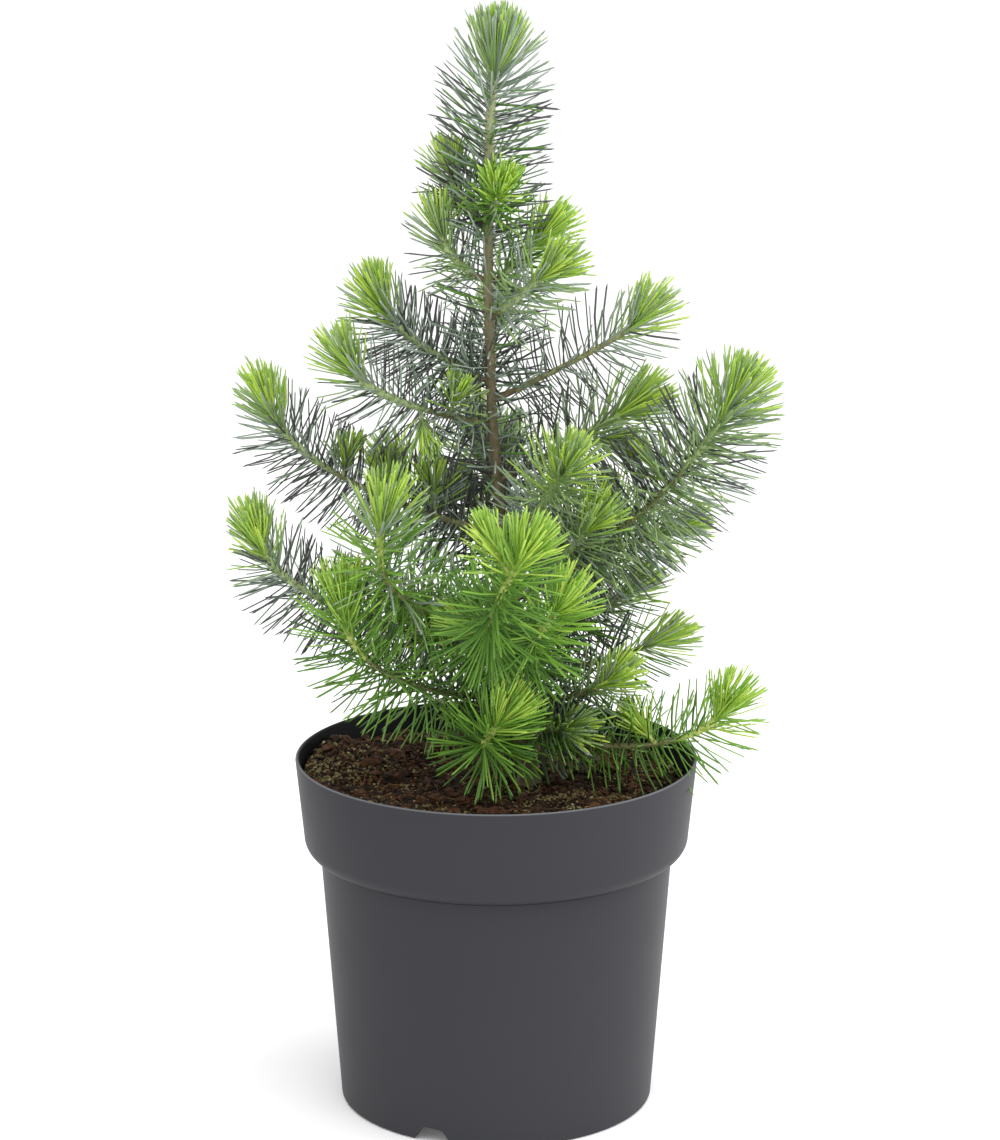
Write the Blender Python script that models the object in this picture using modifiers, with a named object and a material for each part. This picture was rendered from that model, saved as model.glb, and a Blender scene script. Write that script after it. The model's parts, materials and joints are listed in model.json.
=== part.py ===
# A young stone pine in its round nursery pot.
# The origin is on the pot's axis, on its flat underside. +Z is up, and the front of the plant is -Y.

import random
from collections import namedtuple
from math import cos, exp, hypot, pi, radians, sin, tan

import bmesh
import bpy
import numpy as np
from mathutils import Matrix, Vector

MM = 0.001
UP = Vector((0, 0, 1))

# The gap that stays between neighbouring solids
GAP = 0.3 * MM

# Pot
POT_HEIGHT = 168.6 * MM
RIM_RADIUS = 95.0 * MM
LIP_HEIGHT = 2.6 * MM
LIP_STEP = 0.5 * MM
COLLAR_RADIUS = 91.2 * MM
COLLAR_HEIGHT = 38.0 * MM
STEP_HEIGHT = 46.0 * MM
BODY_TOP_RADIUS = 83.6 * MM
BODY_FOOT_RADIUS = 74.5 * MM
FOOT_ROUND = 2.0 * MM
WALL = 2.0 * MM
FOOT_RING_WIDTH = 3.5 * MM
CHANNEL_WIDTH = 10.0 * MM
CHANNEL_HEIGHT = 6.0 * MM
POT_STEPS = 40
NOTCH_COUNT = 3
NOTCH_FIRST_ANGLE = radians(-113.7)
NOTCH_WIDTH = 20.0 * MM
NOTCH_TOP_WIDTH = 9.8 * MM
NOTCH_HEIGHT = 6.9 * MM
NOTCH_OVERRUN = 2.0 * MM
DRAIN_HOLES = 6
DRAIN_RADIUS = 3.5 * MM

# Soil
SOIL_LEVEL = 154.0 * MM
SOIL_RELIEF = 1.7 * MM
SOIL_RINGS = 7
FLAT_PATCH = 14.0 * MM

# Trunk, from its flat cut on the soil to the tip inside the leader's tuft
Station = namedtuple("Station", "height lean radius")
TRUNK = [
    Station(SOIL_LEVEL + GAP, 15.0 * MM, 6.4 * MM),
    Station(156 * MM, 15.0 * MM, 5.3 * MM),
    Station(160 * MM, 15.0 * MM, 4.6 * MM),
    Station(170 * MM, 14.8 * MM, 4.1 * MM),
    Station(190 * MM, 13.4 * MM, 3.9 * MM),
    Station(212 * MM, 11.0 * MM, 3.6 * MM),
    Station(258 * MM, 5.4 * MM, 3.1 * MM),
    Station(300 * MM, 0.6 * MM, 2.6 * MM),
    Station(340 * MM, -2.3 * MM, 2.3 * MM),
    Station(390 * MM, -3.6 * MM, 2.3 * MM),
    Station(435 * MM, -3.5 * MM, 2.4 * MM),
    Station(472 * MM, -2.6 * MM, 2.3 * MM),
    Station(493 * MM, 0.2 * MM, 1.4 * MM),
]

# The needles that stand on the trunk itself grow on two sleeves round it
SLEEVE_WALL = 0.7 * MM
SLEEVE_FOOT = 306 * MM
SLEEVE_SPLIT = 402 * MM
SLEEVE_CAP = 3.0 * MM

# Shoots: where each leaves the trunk, where it points, how far it reaches and rises,
# where its bend lies (as parts of reach and rise), its bare length, how long its needles
# are beside the common length and how far its bend lies to the left of its azimuth.
# Heights and lengths are in mm.
Shoot = namedtuple("Shoot", "name height azimuth reach rise bend_out bend_up bare needle sway", defaults=(1.0, 0))
SHOOTS = [
    Shoot("top_left", 418, 160, 19, 28, 0.9, 0.7, 0, 0.8),
    Shoot("top_front", 424, -77, 22, 16, 0.6, 0.4, 0, 0.8),
    Shoot("upper_left", 395, -170, 22, 27, 1, 0.4, 0, 0.85),
    Shoot("upper_right", 393, 18, 27, 22, 0.6, 0.5, 0, 0.92),
    Shoot("upper_front", 377, -32, 33, 26, 0.5, 0.5, 0, 0.95),
    Shoot("upper_back", 345, 88, 36, 26, 0.7, 0.4, 0),
    Shoot("left_high", 348, 175, 51, 37, 0.95, 0.6, 0, 0.95),
    Shoot("left_middle", 328, -170, 67, 31, 0.9, 0.4, 0),
    Shoot("right_high", 339, 10, 71, 37, 0.9, 0.75, 12),
    Shoot("right_middle", 301, 15, 65, 32, 0.6, 0.55, 14, 1.08),
    Shoot("back_left_high", 290, 98, 58, 24, 0.7, 0.4, 13),
    Shoot("back_right_high", 285, 86, 60, 18, 0.7, 0.4, 13),
    Shoot("left_far", 275, 175, 110, 61, 0.9, 0.4, 17, 0.95),
    Shoot("front_right", 263, -55, 47, 52, 0.45, 0.5, 12),
    Shoot("right_far", 258, -8, 106, 87, 0.6, 0.12, 18, 1.22),
    Shoot("back_middle", 250, 100, 78, 50, 0.8, 0.4, 17),
    Shoot("front_right_small", 249, -40, 48, 38, 0.6, 0.4, 14),
    Shoot("right_under", 243, 15, 81, 31, 0.5, 0.7, 16, 0.88),
    Shoot("front_left", 235, -134, 84, 64, 1.05, 0.15, 15, 1.1, -16),
    Shoot("front_middle", 225, -88, 95, 64, 0.85, 0.2, 16, 1.05, -30),
    Shoot("right_short", 220, 25, 61, 23, 0.6, 0.4, 14, 0.88),
    Shoot("left_low", 217, -165, 124, 65, 0.94, 0.45, 18, 0.98),
    Shoot("front_small", 215, -75, 72, 44, 0.8, 0.3, 16, 1, -18),
    Shoot("back_right", 212, 60, 85, 42, 0.8, 0.4, 17),
    Shoot("back_left", 266, 132, 78, 28, 0.85, 0.4, 17),
    Shoot("right_low", 204, 10, 67, 17, 0.6, 0.5, 15, 0.9),
    Shoot("front_left_low", 196, -150, 95, 57, 1, 0.25, 16, 1.12),
    Shoot("front_right_low", 193, -25, 45, 18, 0.8, 0.5, 0, 0.88),
    Shoot("back_low", 190, 92, 62, 14, 0.7, 0.3, 14),
    Shoot("front_star", 185, -100, 58, 18, 0.95, -0.6, 13, 1, -24),
    Shoot("foot_right", 182, -50, 30, 5, 0.6, 0.4, 0),
    Shoot("over_rim", 177, -12, 95, 20, 0.8, -0.45, 11),
]

# Side twigs: the shoot that each stands on, its place along it from 0 to 1, its azimuth
# and climb in degrees and its length in mm
Twig = namedtuple("Twig", "shoot place azimuth climb length")
TWIGS = [
    Twig("left_middle", 0.3, -60, 45, 12),
    Twig("left_far", 0.62, -60, 70, 8),
    Twig("left_far", 0.43, 160, 75, 9),
    Twig("left_far", 0.26, -100, 70, 16),
    Twig("left_middle", 0.47, -80, -50, 12),
    Twig("left_low", 0.28, -120, 25, 18),
    Twig("right_far", 0.62, 165, 50, 10),
    Twig("right_far", 0.42, 150, 68, 12),
    Twig("right_middle", 0.66, -10, -20, 12),
    Twig("over_rim", 0.62, 175, 48, 10),
    Twig("front_middle", 0.5, 160, 10, 12),
    Twig("front_middle", 0.9, 160, 55, 16),
    Twig("back_middle", 0.6, 150, 40, 14),
    Twig("back_left", 0.6, 60, 35, 14),
    Twig("back_right", 0.6, 120, 35, 14),
]

# Limb thickness
BOUGH_BASE = 1.2 * MM
BOUGH_BASE_GROWTH = 0.004
SHOOT_TIP_RADIUS = 1.0 * MM
PATH_STEP = 9.0 * MM
BARE_STEP = 14.0 * MM
JOINT_RUN = 1.0 * MM

# Needles
GOLDEN_ANGLE = radians(137.508)
NEEDLE_LENGTH = 28.0 * MM
LEADER_NEEDLE = 30.0 * MM
LEADER_GROWTH = 0.08
SPRAY_SPACING = 7.2 * MM
LEADER_SPACING = 4.6 * MM
LEADER_SEED = 7
FIRST_SPRAY = 5.0 * MM
SPRAY_TEETH = 3
SPRAY_FAN = radians(12.0)
SPRAY_ROOT_WIDTH = 0.9 * MM
SPRAY_ROOT_DEPTH = 0.9 * MM
SPRAY_NOTCH = 0.42
SPREAD_AT_TIP = 16.0
SPREAD_GAIN = 66.0
SPREAD_RUN = 14.0 * MM
TUFT_SPRAYS = 3
TUFT_RUN = 4.0 * MM
TUFT_SHORTENING = 0.15
TUFT_SHORTENING_RUN = 10.0 * MM
LENGTH_SCATTER = 0.08
SHORTEST_PART = 0.45
PROBES = 13

# Side twigs
TWIG_RADIUS = 1.0 * MM
TWIG_LIFT = 0.12
TWIG_NEEDLE = 0.8
TWIG_ROOM = 3.0 * MM

# Room that a needle leaves to the space of another mass, and to a limb, the pot and the soil
SPACE_MARGIN = 1.6 * MM
LIMB_CLEARANCE = 1.2 * MM
POT_CLEARANCE = 1.0 * MM

Limb = namedtuple("Limb", "points radii")
Stem = namedtuple("Stem", "points radii needle shortening")


def clear_scene():
    for item in list(bpy.data.objects):
        bpy.data.objects.remove(item)


def new_collection(name, parent=None):
    collection = bpy.data.collections.new(name)
    parent = parent or bpy.context.scene.collection
    parent.children.link(collection)
    return collection


def colour_with(item, colour, roughness, metallic=0.0):
    material = bpy.data.materials.new(item.name)
    material.use_nodes = True
    shader = material.node_tree.nodes["Principled BSDF"]
    shader.inputs["Base Color"].default_value = (*colour, 1.0)
    shader.inputs["Roughness"].default_value = roughness
    shader.inputs["Metallic"].default_value = metallic
    item.data.materials.clear()
    item.data.materials.append(material)


def evaluated_mesh(item):
    depsgraph = bpy.context.evaluated_depsgraph_get()
    depsgraph.update()
    return bpy.data.meshes.new_from_object(item.evaluated_get(depsgraph))


def add_boolean(item, operation, tool, solver="EXACT"):
    boolean = item.modifiers.new(operation.title(), "BOOLEAN")
    boolean.operation = operation
    boolean.solver = solver
    if isinstance(tool, bpy.types.Collection):
        boolean.operand_type = "COLLECTION"
        boolean.collection = tool
    else:
        boolean.object = tool


def apply_modifiers(item):
    mesh = evaluated_mesh(item)
    item.modifiers.clear()
    item.data = mesh


def keep_largest_piece(mesh):
    shape = bmesh.new()
    shape.from_mesh(mesh)
    pieces = []
    unseen = set(shape.verts)
    while unseen:
        front = [unseen.pop()]
        piece = set(front)
        while front:
            vertex = front.pop()
            for edge in vertex.link_edges:
                other = edge.other_vert(vertex)
                if other in unseen:
                    unseen.discard(other)
                    piece.add(other)
                    front.append(other)
        pieces.append(piece)
    pieces.sort(key=len)
    for piece in pieces[:-1]:
        bmesh.ops.delete(shape, geom=list(piece), context="VERTS")
    shape.to_mesh(mesh)
    shape.free()


def set_origin(item, place):
    item.data.transform(Matrix.Translation(-place))
    item.location = place


def turned(name, profile, collection):
    mesh = bpy.data.meshes.new(name)
    edges = [(index, index + 1) for index in range(len(profile) - 1)]
    mesh.from_pydata([(radius, 0, height) for radius, height in profile], edges, [])
    item = bpy.data.objects.new(name, mesh)
    collection.objects.link(item)
    screw = item.modifiers.new("Turn", "SCREW")
    screw.steps = POT_STEPS
    screw.render_steps = POT_STEPS
    screw.use_merge_vertices = True
    screw.merge_threshold = 0.00001
    return item


# Pot and soil

def wall_radius(height):
    """Outer radius of the pot's body and collar."""
    step_top = POT_HEIGHT - COLLAR_HEIGHT
    if height >= step_top:
        return np.interp(height, (step_top, POT_HEIGHT), (COLLAR_RADIUS, RIM_RADIUS - LIP_STEP))
    return np.interp(height, (0, POT_HEIGHT - STEP_HEIGHT), (BODY_FOOT_RADIUS, BODY_TOP_RADIUS))


def step_curve():
    """The rounded shoulder under the collar, as a quarter ellipse."""
    top = POT_HEIGHT - COLLAR_HEIGHT
    foot = POT_HEIGHT - STEP_HEIGHT
    points = []
    for part in range(5):
        angle = part / 4 * pi / 2
        radius = BODY_TOP_RADIUS + (COLLAR_RADIUS - BODY_TOP_RADIUS) * cos(angle)
        points.append((radius, top + (foot - top) * sin(angle)))
    return points


def foot_profile():
    ring = BODY_FOOT_RADIUS - FOOT_RING_WIDTH
    disc = ring - CHANNEL_WIDTH
    return [
        (ring, 0),
        (ring, CHANNEL_HEIGHT),
        (disc, CHANNEL_HEIGHT),
        (disc - WALL, 0),
        (0, 0),
    ]


def inner_profile(offset):
    """From the middle of the pot's floor out and up its inner wall; a positive offset lies inside it."""
    floor = WALL + offset
    ledge = CHANNEL_HEIGHT + WALL + offset
    ring = BODY_FOOT_RADIUS - FOOT_RING_WIDTH
    ledge_edge = ring - CHANNEL_WIDTH - WALL
    inset = WALL + offset
    points = [
        (0, floor),
        (ledge_edge - WALL - offset, floor),
        (ledge_edge - offset, ledge),
        (wall_radius(ledge) - inset, ledge),
    ]
    points.append((BODY_TOP_RADIUS - inset, POT_HEIGHT - STEP_HEIGHT))
    points.append((COLLAR_RADIUS - inset, POT_HEIGHT - COLLAR_HEIGHT))
    return points


def make_pot(collection, cutters):
    outer = [
        (RIM_RADIUS - WALL, POT_HEIGHT - LIP_STEP),
        (RIM_RADIUS - WALL / 2, POT_HEIGHT),
        (RIM_RADIUS - LIP_STEP, POT_HEIGHT),
        (RIM_RADIUS, POT_HEIGHT - LIP_STEP),
        (RIM_RADIUS, POT_HEIGHT - LIP_HEIGHT),
        (RIM_RADIUS - LIP_STEP, POT_HEIGHT - LIP_HEIGHT - LIP_STEP),
    ]
    outer += step_curve()
    foot = [
        (BODY_FOOT_RADIUS, FOOT_ROUND),
        (BODY_FOOT_RADIUS - 0.6 * FOOT_ROUND, 0.4 * FOOT_ROUND),
        (BODY_FOOT_RADIUS - FOOT_ROUND, 0),
    ]
    pot = turned("pot", inner_profile(0) + outer + foot + foot_profile(), collection)
    holes = new_collection("pot_cutters", cutters)
    add_notches(holes)
    add_drain_holes(holes)
    add_boolean(pot, "DIFFERENCE", holes)
    colour_with(pot, (0.045, 0.048, 0.053), 0.45)
    return pot


def as_cutter(item):
    item.hide_render = True
    item.display_type = "WIRE"


def add_notches(collection):
    depth = FOOT_RING_WIDTH + 2 * NOTCH_OVERRUN
    for index in range(NOTCH_COUNT):
        shape = bmesh.new()
        bmesh.ops.create_cube(shape, size=1.0)
        for vertex in shape.verts:
            width = NOTCH_TOP_WIDTH if vertex.co.z > 0 else NOTCH_WIDTH
            vertex.co = Vector((vertex.co.x * depth, vertex.co.y * width, vertex.co.z * NOTCH_HEIGHT))
        mesh = bpy.data.meshes.new("notch")
        shape.to_mesh(mesh)
        shape.free()
        notch = bpy.data.objects.new(f"notch_{index + 1}", mesh)
        angle = NOTCH_FIRST_ANGLE + index * 2 * pi / NOTCH_COUNT
        out = BODY_FOOT_RADIUS - FOOT_RING_WIDTH / 2
        notch.location = (out * cos(angle), out * sin(angle), NOTCH_HEIGHT / 2 - GAP)
        notch.rotation_euler = (0, 0, angle)
        collection.objects.link(notch)
        as_cutter(notch)


def add_drain_holes(collection):
    middle = BODY_FOOT_RADIUS - FOOT_RING_WIDTH - CHANNEL_WIDTH / 2
    for index in range(DRAIN_HOLES):
        shape = bmesh.new()
        bmesh.ops.create_cone(shape, cap_ends=True, segments=10, radius1=DRAIN_RADIUS,
                              radius2=DRAIN_RADIUS, depth=4 * WALL)
        mesh = bpy.data.meshes.new("drain")
        shape.to_mesh(mesh)
        shape.free()
        drain = bpy.data.objects.new(f"drain_{index + 1}", mesh)
        angle = NOTCH_FIRST_ANGLE + (index + 0.5) * 2 * pi / DRAIN_HOLES
        drain.location = (middle * cos(angle), middle * sin(angle), CHANNEL_HEIGHT + WALL / 2)
        collection.objects.link(drain)
        as_cutter(drain)


def soil_height(x, y):
    """Gently uneven, level under the trunk's foot."""
    relief = sin(x / (17 * MM) + 0.6) * cos(y / (21 * MM)) + 0.5 * sin((x + y) / (9 * MM))
    away = hypot(x - TRUNK[0].lean, y)
    blend = min(max((away - FLAT_PATCH) / FLAT_PATCH, 0), 1)
    return SOIL_LEVEL + SOIL_RELIEF * relief * blend * blend * (3 - 2 * blend)


def make_soil(collection):
    edge = wall_radius(SOIL_LEVEL) - WALL - GAP
    top = [(edge * ring / SOIL_RINGS, SOIL_LEVEL) for ring in range(SOIL_RINGS + 1)]
    side = list(reversed(inner_profile(GAP)))
    soil = turned("soil", top + side, collection)
    apply_modifiers(soil)
    for vertex in soil.data.vertices:
        if vertex.co.z > SOIL_LEVEL - GAP:
            vertex.co.z = soil_height(vertex.co.x, vertex.co.y)
    colour_with(soil, (0.07, 0.045, 0.03), 0.95)
    return soil


# Limbs

def trunk_point(height):
    heights = [station.height for station in TRUNK]
    lean = np.interp(height, heights, [station.lean for station in TRUNK])
    return Vector((lean, 0, height))


def trunk_radius(height):
    heights = [station.height for station in TRUNK]
    return float(np.interp(height, heights, [station.radius for station in TRUNK]))


def shoot_point(shoot, part):
    """A quadratic curve from the trunk's axis through the bend to the shoot's tip."""
    angle = radians(shoot.azimuth)
    out = Vector((cos(angle), sin(angle), 0))
    root = trunk_point(shoot.height * MM)
    left = UP.cross(out)
    bend = root + out * shoot.reach * MM * shoot.bend_out + UP * shoot.rise * MM * shoot.bend_up
    bend += left * shoot.sway * MM
    tip = root + out * shoot.reach * MM + UP * shoot.rise * MM
    return root * (1 - part) ** 2 + bend * 2 * part * (1 - part) + tip * part ** 2


def shoot_length(shoot):
    points = [shoot_point(shoot, index / 60) for index in range(61)]
    return sum((after - before).length for before, after in zip(points, points[1:]))


def shoot_limb(shoot, start, end, step=PATH_STEP):
    """The stretch of a shoot between two distances along it, with its taper."""
    fine = [shoot_point(shoot, index / 60) for index in range(61)]
    run = [0.0]
    for before, after in zip(fine, fine[1:]):
        run.append(run[-1] + (after - before).length)
    length = run[-1]
    inner = max(int(round((end - start) / step)), 2)
    places = [start + (end - start) * index / inner for index in range(inner + 1)]
    places.insert(1, start + JOINT_RUN)
    places.insert(-1, end - JOINT_RUN)
    base = BOUGH_BASE + BOUGH_BASE_GROWTH * length
    points = []
    radii = []
    for place in places:
        point = [float(np.interp(place, run, [co[axis] for co in fine])) for axis in range(3)]
        points.append(Vector(point))
        radii.append(base + (SHOOT_TIP_RADIUS - base) * place / length)
    return Limb(points, radii)


def limb_object(name, limb, collection, roundness, extra=0.0):
    """A tapering tube of mesh, with welded caps."""
    curve = bpy.data.curves.new(name, "CURVE")
    curve.dimensions = "3D"
    curve.bevel_depth = 1.0
    curve.bevel_resolution = roundness
    curve.use_fill_caps = True
    spline = curve.splines.new("POLY")
    spline.points.add(len(limb.points) - 1)
    for point, place, radius in zip(spline.points, limb.points, limb.radii):
        point.co = (*place, 1)
        point.radius = radius + extra
    guide = bpy.data.objects.new(name + "_guide", curve)
    collection.objects.link(guide)
    mesh = evaluated_mesh(guide)
    shape = bmesh.new()
    shape.from_mesh(mesh)
    bmesh.ops.remove_doubles(shape, verts=shape.verts, dist=0.000001)
    shape.to_mesh(mesh)
    shape.free()
    item = bpy.data.objects.new(name, mesh)
    item.matrix_world = guide.matrix_world
    bpy.data.objects.remove(guide)
    collection.objects.link(item)
    return item


def trunk_limb(foot, top, extra=0.0):
    heights = [foot] + [station.height for station in TRUNK if foot < station.height < top] + [top]
    points = [trunk_point(height) for height in heights]
    radii = [trunk_radius(height) + extra for height in heights]
    return Limb(points, radii)


def make_trunk(collection):
    trunk = limb_object("trunk", trunk_limb(TRUNK[0].height, TRUNK[-1].height), collection, 2)
    for polygon in trunk.data.polygons:
        polygon.use_smooth = len(polygon.vertices) == 4
    set_origin(trunk, trunk_point(TRUNK[0].height))
    colour_with(trunk, (0.16, 0.12, 0.08), 0.85)
    return trunk


def trunk_clearance(cutters):
    """The trunk grown by the gap, which the limbs on it are cut with."""
    grown = GAP / cos(pi / 8)
    limb = trunk_limb(TRUNK[0].height, TRUNK[-1].height)
    foot = limb.points[0] - UP * MM
    tip = limb.points[-1] + (limb.points[-1] - limb.points[-2]).normalized() * GAP
    longer = Limb([foot] + limb.points[1:-1] + [tip], limb.radii)
    cutter = limb_object("trunk_clearance", longer, cutters, 2, grown)
    as_cutter(cutter)
    return cutter


def make_bough(shoot, collection, clearance):
    limb = shoot_limb(shoot, 0.0, shoot.bare * MM, BARE_STEP)
    bough = limb_object("bough_" + shoot.name, limb, collection, 1)
    add_boolean(bough, "DIFFERENCE", clearance)
    apply_modifiers(bough)
    keep_largest_piece(bough.data)
    set_origin(bough, limb.points[0])
    colour_with(bough, (0.20, 0.16, 0.09), 0.8)
    return limb


# Needles

def sampled(points, step):
    """Points along a polyline, close enough to measure distances from."""
    out = []
    for before, after in zip(points, points[1:]):
        count = max(int((after - before).length / step), 1)
        out += [before.lerp(after, index / count) for index in range(count)]
    out.append(points[-1])
    return np.array(out)


def nearest(probes, places):
    steps = probes[:, None, :] - places[None, :, :]
    return np.sqrt((steps ** 2).sum(axis=2))


class Space:
    """Whose room a point is in: that of the mass with the nearest stem, clear of limbs, pot and soil."""

    def __init__(self):
        self.stems = {}
        self.limbs = []

    def add_stem(self, owner, stem):
        self.stems.setdefault(owner, []).append(sampled(stem.points, 1.5 * MM))

    def add_limb(self, limb):
        places = sampled(limb.points, 1.5 * MM)
        ends = np.array(limb.points)
        near = nearest(places, ends).argmin(axis=1)
        self.limbs.append((places, np.array(limb.radii)[near]))

    def own_and_other(self, owner, probes):
        own = nearest(probes, np.vstack(self.stems[owner])).min(axis=1)
        rest = [part for name, parts in self.stems.items() if name != owner for part in parts]
        return own, nearest(probes, np.vstack(rest)).min(axis=1)

    def free(self, owner, probes):
        own, other = self.own_and_other(owner, probes)
        return (own + SPACE_MARGIN < other) & self.clear_of_limbs(probes)

    def clear_of_limbs(self, probes):
        clear = np.ones(len(probes), bool)
        for places, radii in self.limbs:
            gaps = nearest(probes, places) - radii[None, :]
            clear &= gaps.min(axis=1) > LIMB_CLEARANCE
        for index, (x, y, z) in enumerate(probes):
            clear[index] &= self.clear_of_pot(x, y, z)
        return clear

    def clear_of_pot(self, x, y, z):
        if z > POT_HEIGHT + POT_CLEARANCE:
            return True
        outward = hypot(x, y)
        if outward > RIM_RADIUS + POT_CLEARANCE:
            return True
        inside = outward < wall_radius(z) - WALL - POT_CLEARANCE
        return inside and z > soil_height(x, y) + POT_CLEARANCE


def frame_along(stem, place):
    """The point and direction at a distance along a stem, and two directions across it."""
    run = 0.0
    for before, after in zip(stem.points, stem.points[1:]):
        length = (after - before).length
        if run + length >= place or after is stem.points[-1]:
            along = (after - before).normalized()
            side = along.cross(UP)
            if side.length < 0.1:
                side = along.cross(Vector((1, 0, 0)))
            side.normalize()
            return before + along * (place - run), along, side, side.cross(along)
        run += length


def stem_length(stem):
    return sum((after - before).length for before, after in zip(stem.points, stem.points[1:]))


def spray_rule(stem, seed, spacing):
    """Root, direction, fan direction and length of each spray: a spiral that closes towards the tip."""
    chance = random.Random(seed)
    length = stem_length(stem)
    spiral = chance.uniform(0, 2 * pi)
    last = length - TUFT_RUN
    count = max(int((last - FIRST_SPRAY) / spacing), 0)
    places = [FIRST_SPRAY + (last - FIRST_SPRAY) * index / max(count, 1) for index in range(count)]
    places += [last + (TUFT_RUN - MM) * index / TUFT_SPRAYS for index in range(TUFT_SPRAYS)]
    for place in places:
        point, along, side, across = frame_along(stem, place)
        from_tip = length - place
        spread = radians(SPREAD_AT_TIP + SPREAD_GAIN * (1 - exp(-from_tip / SPREAD_RUN)))
        spiral += GOLDEN_ANGLE
        outward = side * cos(spiral) + across * sin(spiral)
        direction = along * cos(spread) + outward * sin(spread)
        fan = outward * cos(spread) - along * sin(spread)
        young = stem.shortening * exp(-from_tip / TUFT_SHORTENING_RUN)
        reach = stem.needle * (1 - young) * (1 + chance.uniform(-LENGTH_SCATTER, LENGTH_SCATTER))
        yield point, direction, fan, reach


def tooth_slopes():
    """Sideways run of each needle of a spray, for each unit forward."""
    middle = (SPRAY_TEETH - 1) / 2
    return [tan(SPRAY_FAN * (index - middle)) for index in range(SPRAY_TEETH)]


def clear_reach(space, owner, point, direction, fan, reach):
    """How far a spray may go before it would leave its space, or zero."""
    parts = np.linspace(0.2, 1.0, PROBES)
    clear = np.ones(PROBES, bool)
    for slope in tooth_slopes():
        step = np.array(direction + fan * slope)
        clear &= space.free(owner, np.array(point)[None, :] + step[None, :] * (parts * reach)[:, None])
    if clear.all():
        return reach
    kept = parts[clear.argmin() - 1] if clear.argmin() > 0 else 0.0
    return reach * kept if kept >= SHORTEST_PART else 0.0


def spray_object(point, direction, fan, reach):
    """A flat blade, toothed into needles that taper to points in width and thickness."""
    slopes = tooth_slopes()
    outline = [(0.0, -SPRAY_ROOT_WIDTH / 2)]
    for before, after in zip(slopes, slopes[1:] + [None]):
        outline.append((1.0, before * reach))
        if after is not None:
            outline.append((SPRAY_NOTCH, (before + after) / 2 * SPRAY_NOTCH * reach))
    outline.append((0.0, SPRAY_ROOT_WIDTH / 2))
    shape = bmesh.new()
    turn = Matrix((direction, fan, direction.cross(fan))).transposed()
    upper = []
    lower = []
    for part, sideways in outline:
        thick = SPRAY_ROOT_DEPTH / 2 * (1 - part)
        upper.append(shape.verts.new(point + turn @ Vector((part * reach, sideways, thick))))
        tip = part == 1.0
        lower.append(upper[-1] if tip else shape.verts.new(
            point + turn @ Vector((part * reach, sideways, -thick))))
    shape.faces.new(upper)
    shape.faces.new(reversed(lower))
    for index in range(len(outline)):
        corner = [upper[index - 1], lower[index - 1], lower[index], upper[index]]
        shape.faces.new(list(dict.fromkeys(corner)))
    mesh = bpy.data.meshes.new("spray")
    shape.to_mesh(mesh)
    shape.free()
    return bpy.data.objects.new("spray", mesh)


def side_twigs(shoot, stem, space, owner):
    """Short twigs off a shoot, skipped where they would crowd another mass."""
    length = shoot_length(shoot)
    twigs = []
    for twig in TWIGS:
        if twig.shoot != shoot.name:
            continue
        point = frame_along(stem, twig.place * length - shoot.bare * MM)[0]
        angle = radians(twig.azimuth)
        climb = radians(twig.climb)
        heading = Vector((cos(angle) * cos(climb), sin(angle) * cos(climb), sin(climb)))
        reach = twig.length * MM
        points = [point, point + heading * reach / 2, point + heading * reach + UP * TWIG_LIFT * reach]
        ends = np.array(points[1:])
        other = space.own_and_other(owner, ends)[1]
        if (other > TWIG_ROOM).all() and space.clear_of_limbs(ends).all():
            twigs.append(Stem(points, [TWIG_RADIUS] * 3, NEEDLE_LENGTH * TWIG_NEEDLE, TUFT_SHORTENING))
    return twigs


def fuse(item, pieces):
    group = new_collection("fusing")
    for piece in pieces:
        group.objects.link(piece)
    add_boolean(item, "UNION", group, "MANIFOLD")
    apply_modifiers(item)
    for piece in pieces:
        bpy.data.objects.remove(piece)
    bpy.data.collections.remove(group)


def make_mass(name, body, stems, seed, spacing, space, collection, cutters):
    """Fuse the needles and twigs of one mass to its stem, and cut it clear of the limbs it meets."""
    pieces = []
    for index, twig in enumerate(stems[1:]):
        pieces.append(limb_object(f"twig_{index}", twig, collection, 0))
    for index, stem in enumerate(stems):
        for point, direction, fan, reach in spray_rule(stem, seed + 50 * index, spacing):
            kept = clear_reach(space, name, point, direction, fan, reach)
            if kept:
                pieces.append(spray_object(point, direction, fan, kept))
    fuse(body, pieces)
    for cutter in cutters:
        add_boolean(body, "DIFFERENCE", cutter, "MANIFOLD")
    apply_modifiers(body)
    keep_largest_piece(body.data)
    set_origin(body, stems[0].points[0])
    return body


def sleeve_limb(foot, top):
    return trunk_limb(foot, top, GAP + SLEEVE_WALL)


def leader_sleeve():
    """The upper sleeve, closed over the trunk's tip."""
    limb = sleeve_limb(SLEEVE_SPLIT + GAP, TRUNK[-1].height)
    along = (limb.points[-1] - limb.points[-2]).normalized()
    return Limb(limb.points + [limb.points[-1] + along * SLEEVE_CAP], limb.radii + [SHOOT_TIP_RADIUS])


def passing_limbs(cutters):
    """The roots of the upper shoots, grown by twice the gap, which the sleeves are cut with."""
    passing = new_collection("passing_limbs", cutters)
    for shoot in SHOOTS:
        if shoot.height * MM > SLEEVE_FOOT - 2 * PATH_STEP:
            limb = shoot_limb(shoot, 0.0, 2 * PATH_STEP)
            roundness = 1 if shoot.bare else 0
            cutter = limb_object("passing_" + shoot.name, limb, passing, roundness, 2 * GAP)
            as_cutter(cutter)
    return passing


def needle_colour(height):
    """Blue-green low in the crown, fresher towards its top."""
    fresh = min(max((height - SOIL_LEVEL) / (TRUNK[-1].height - SOIL_LEVEL), 0), 1)
    return (0.07 + 0.05 * fresh, 0.20 + 0.08 * fresh, 0.05)


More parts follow.
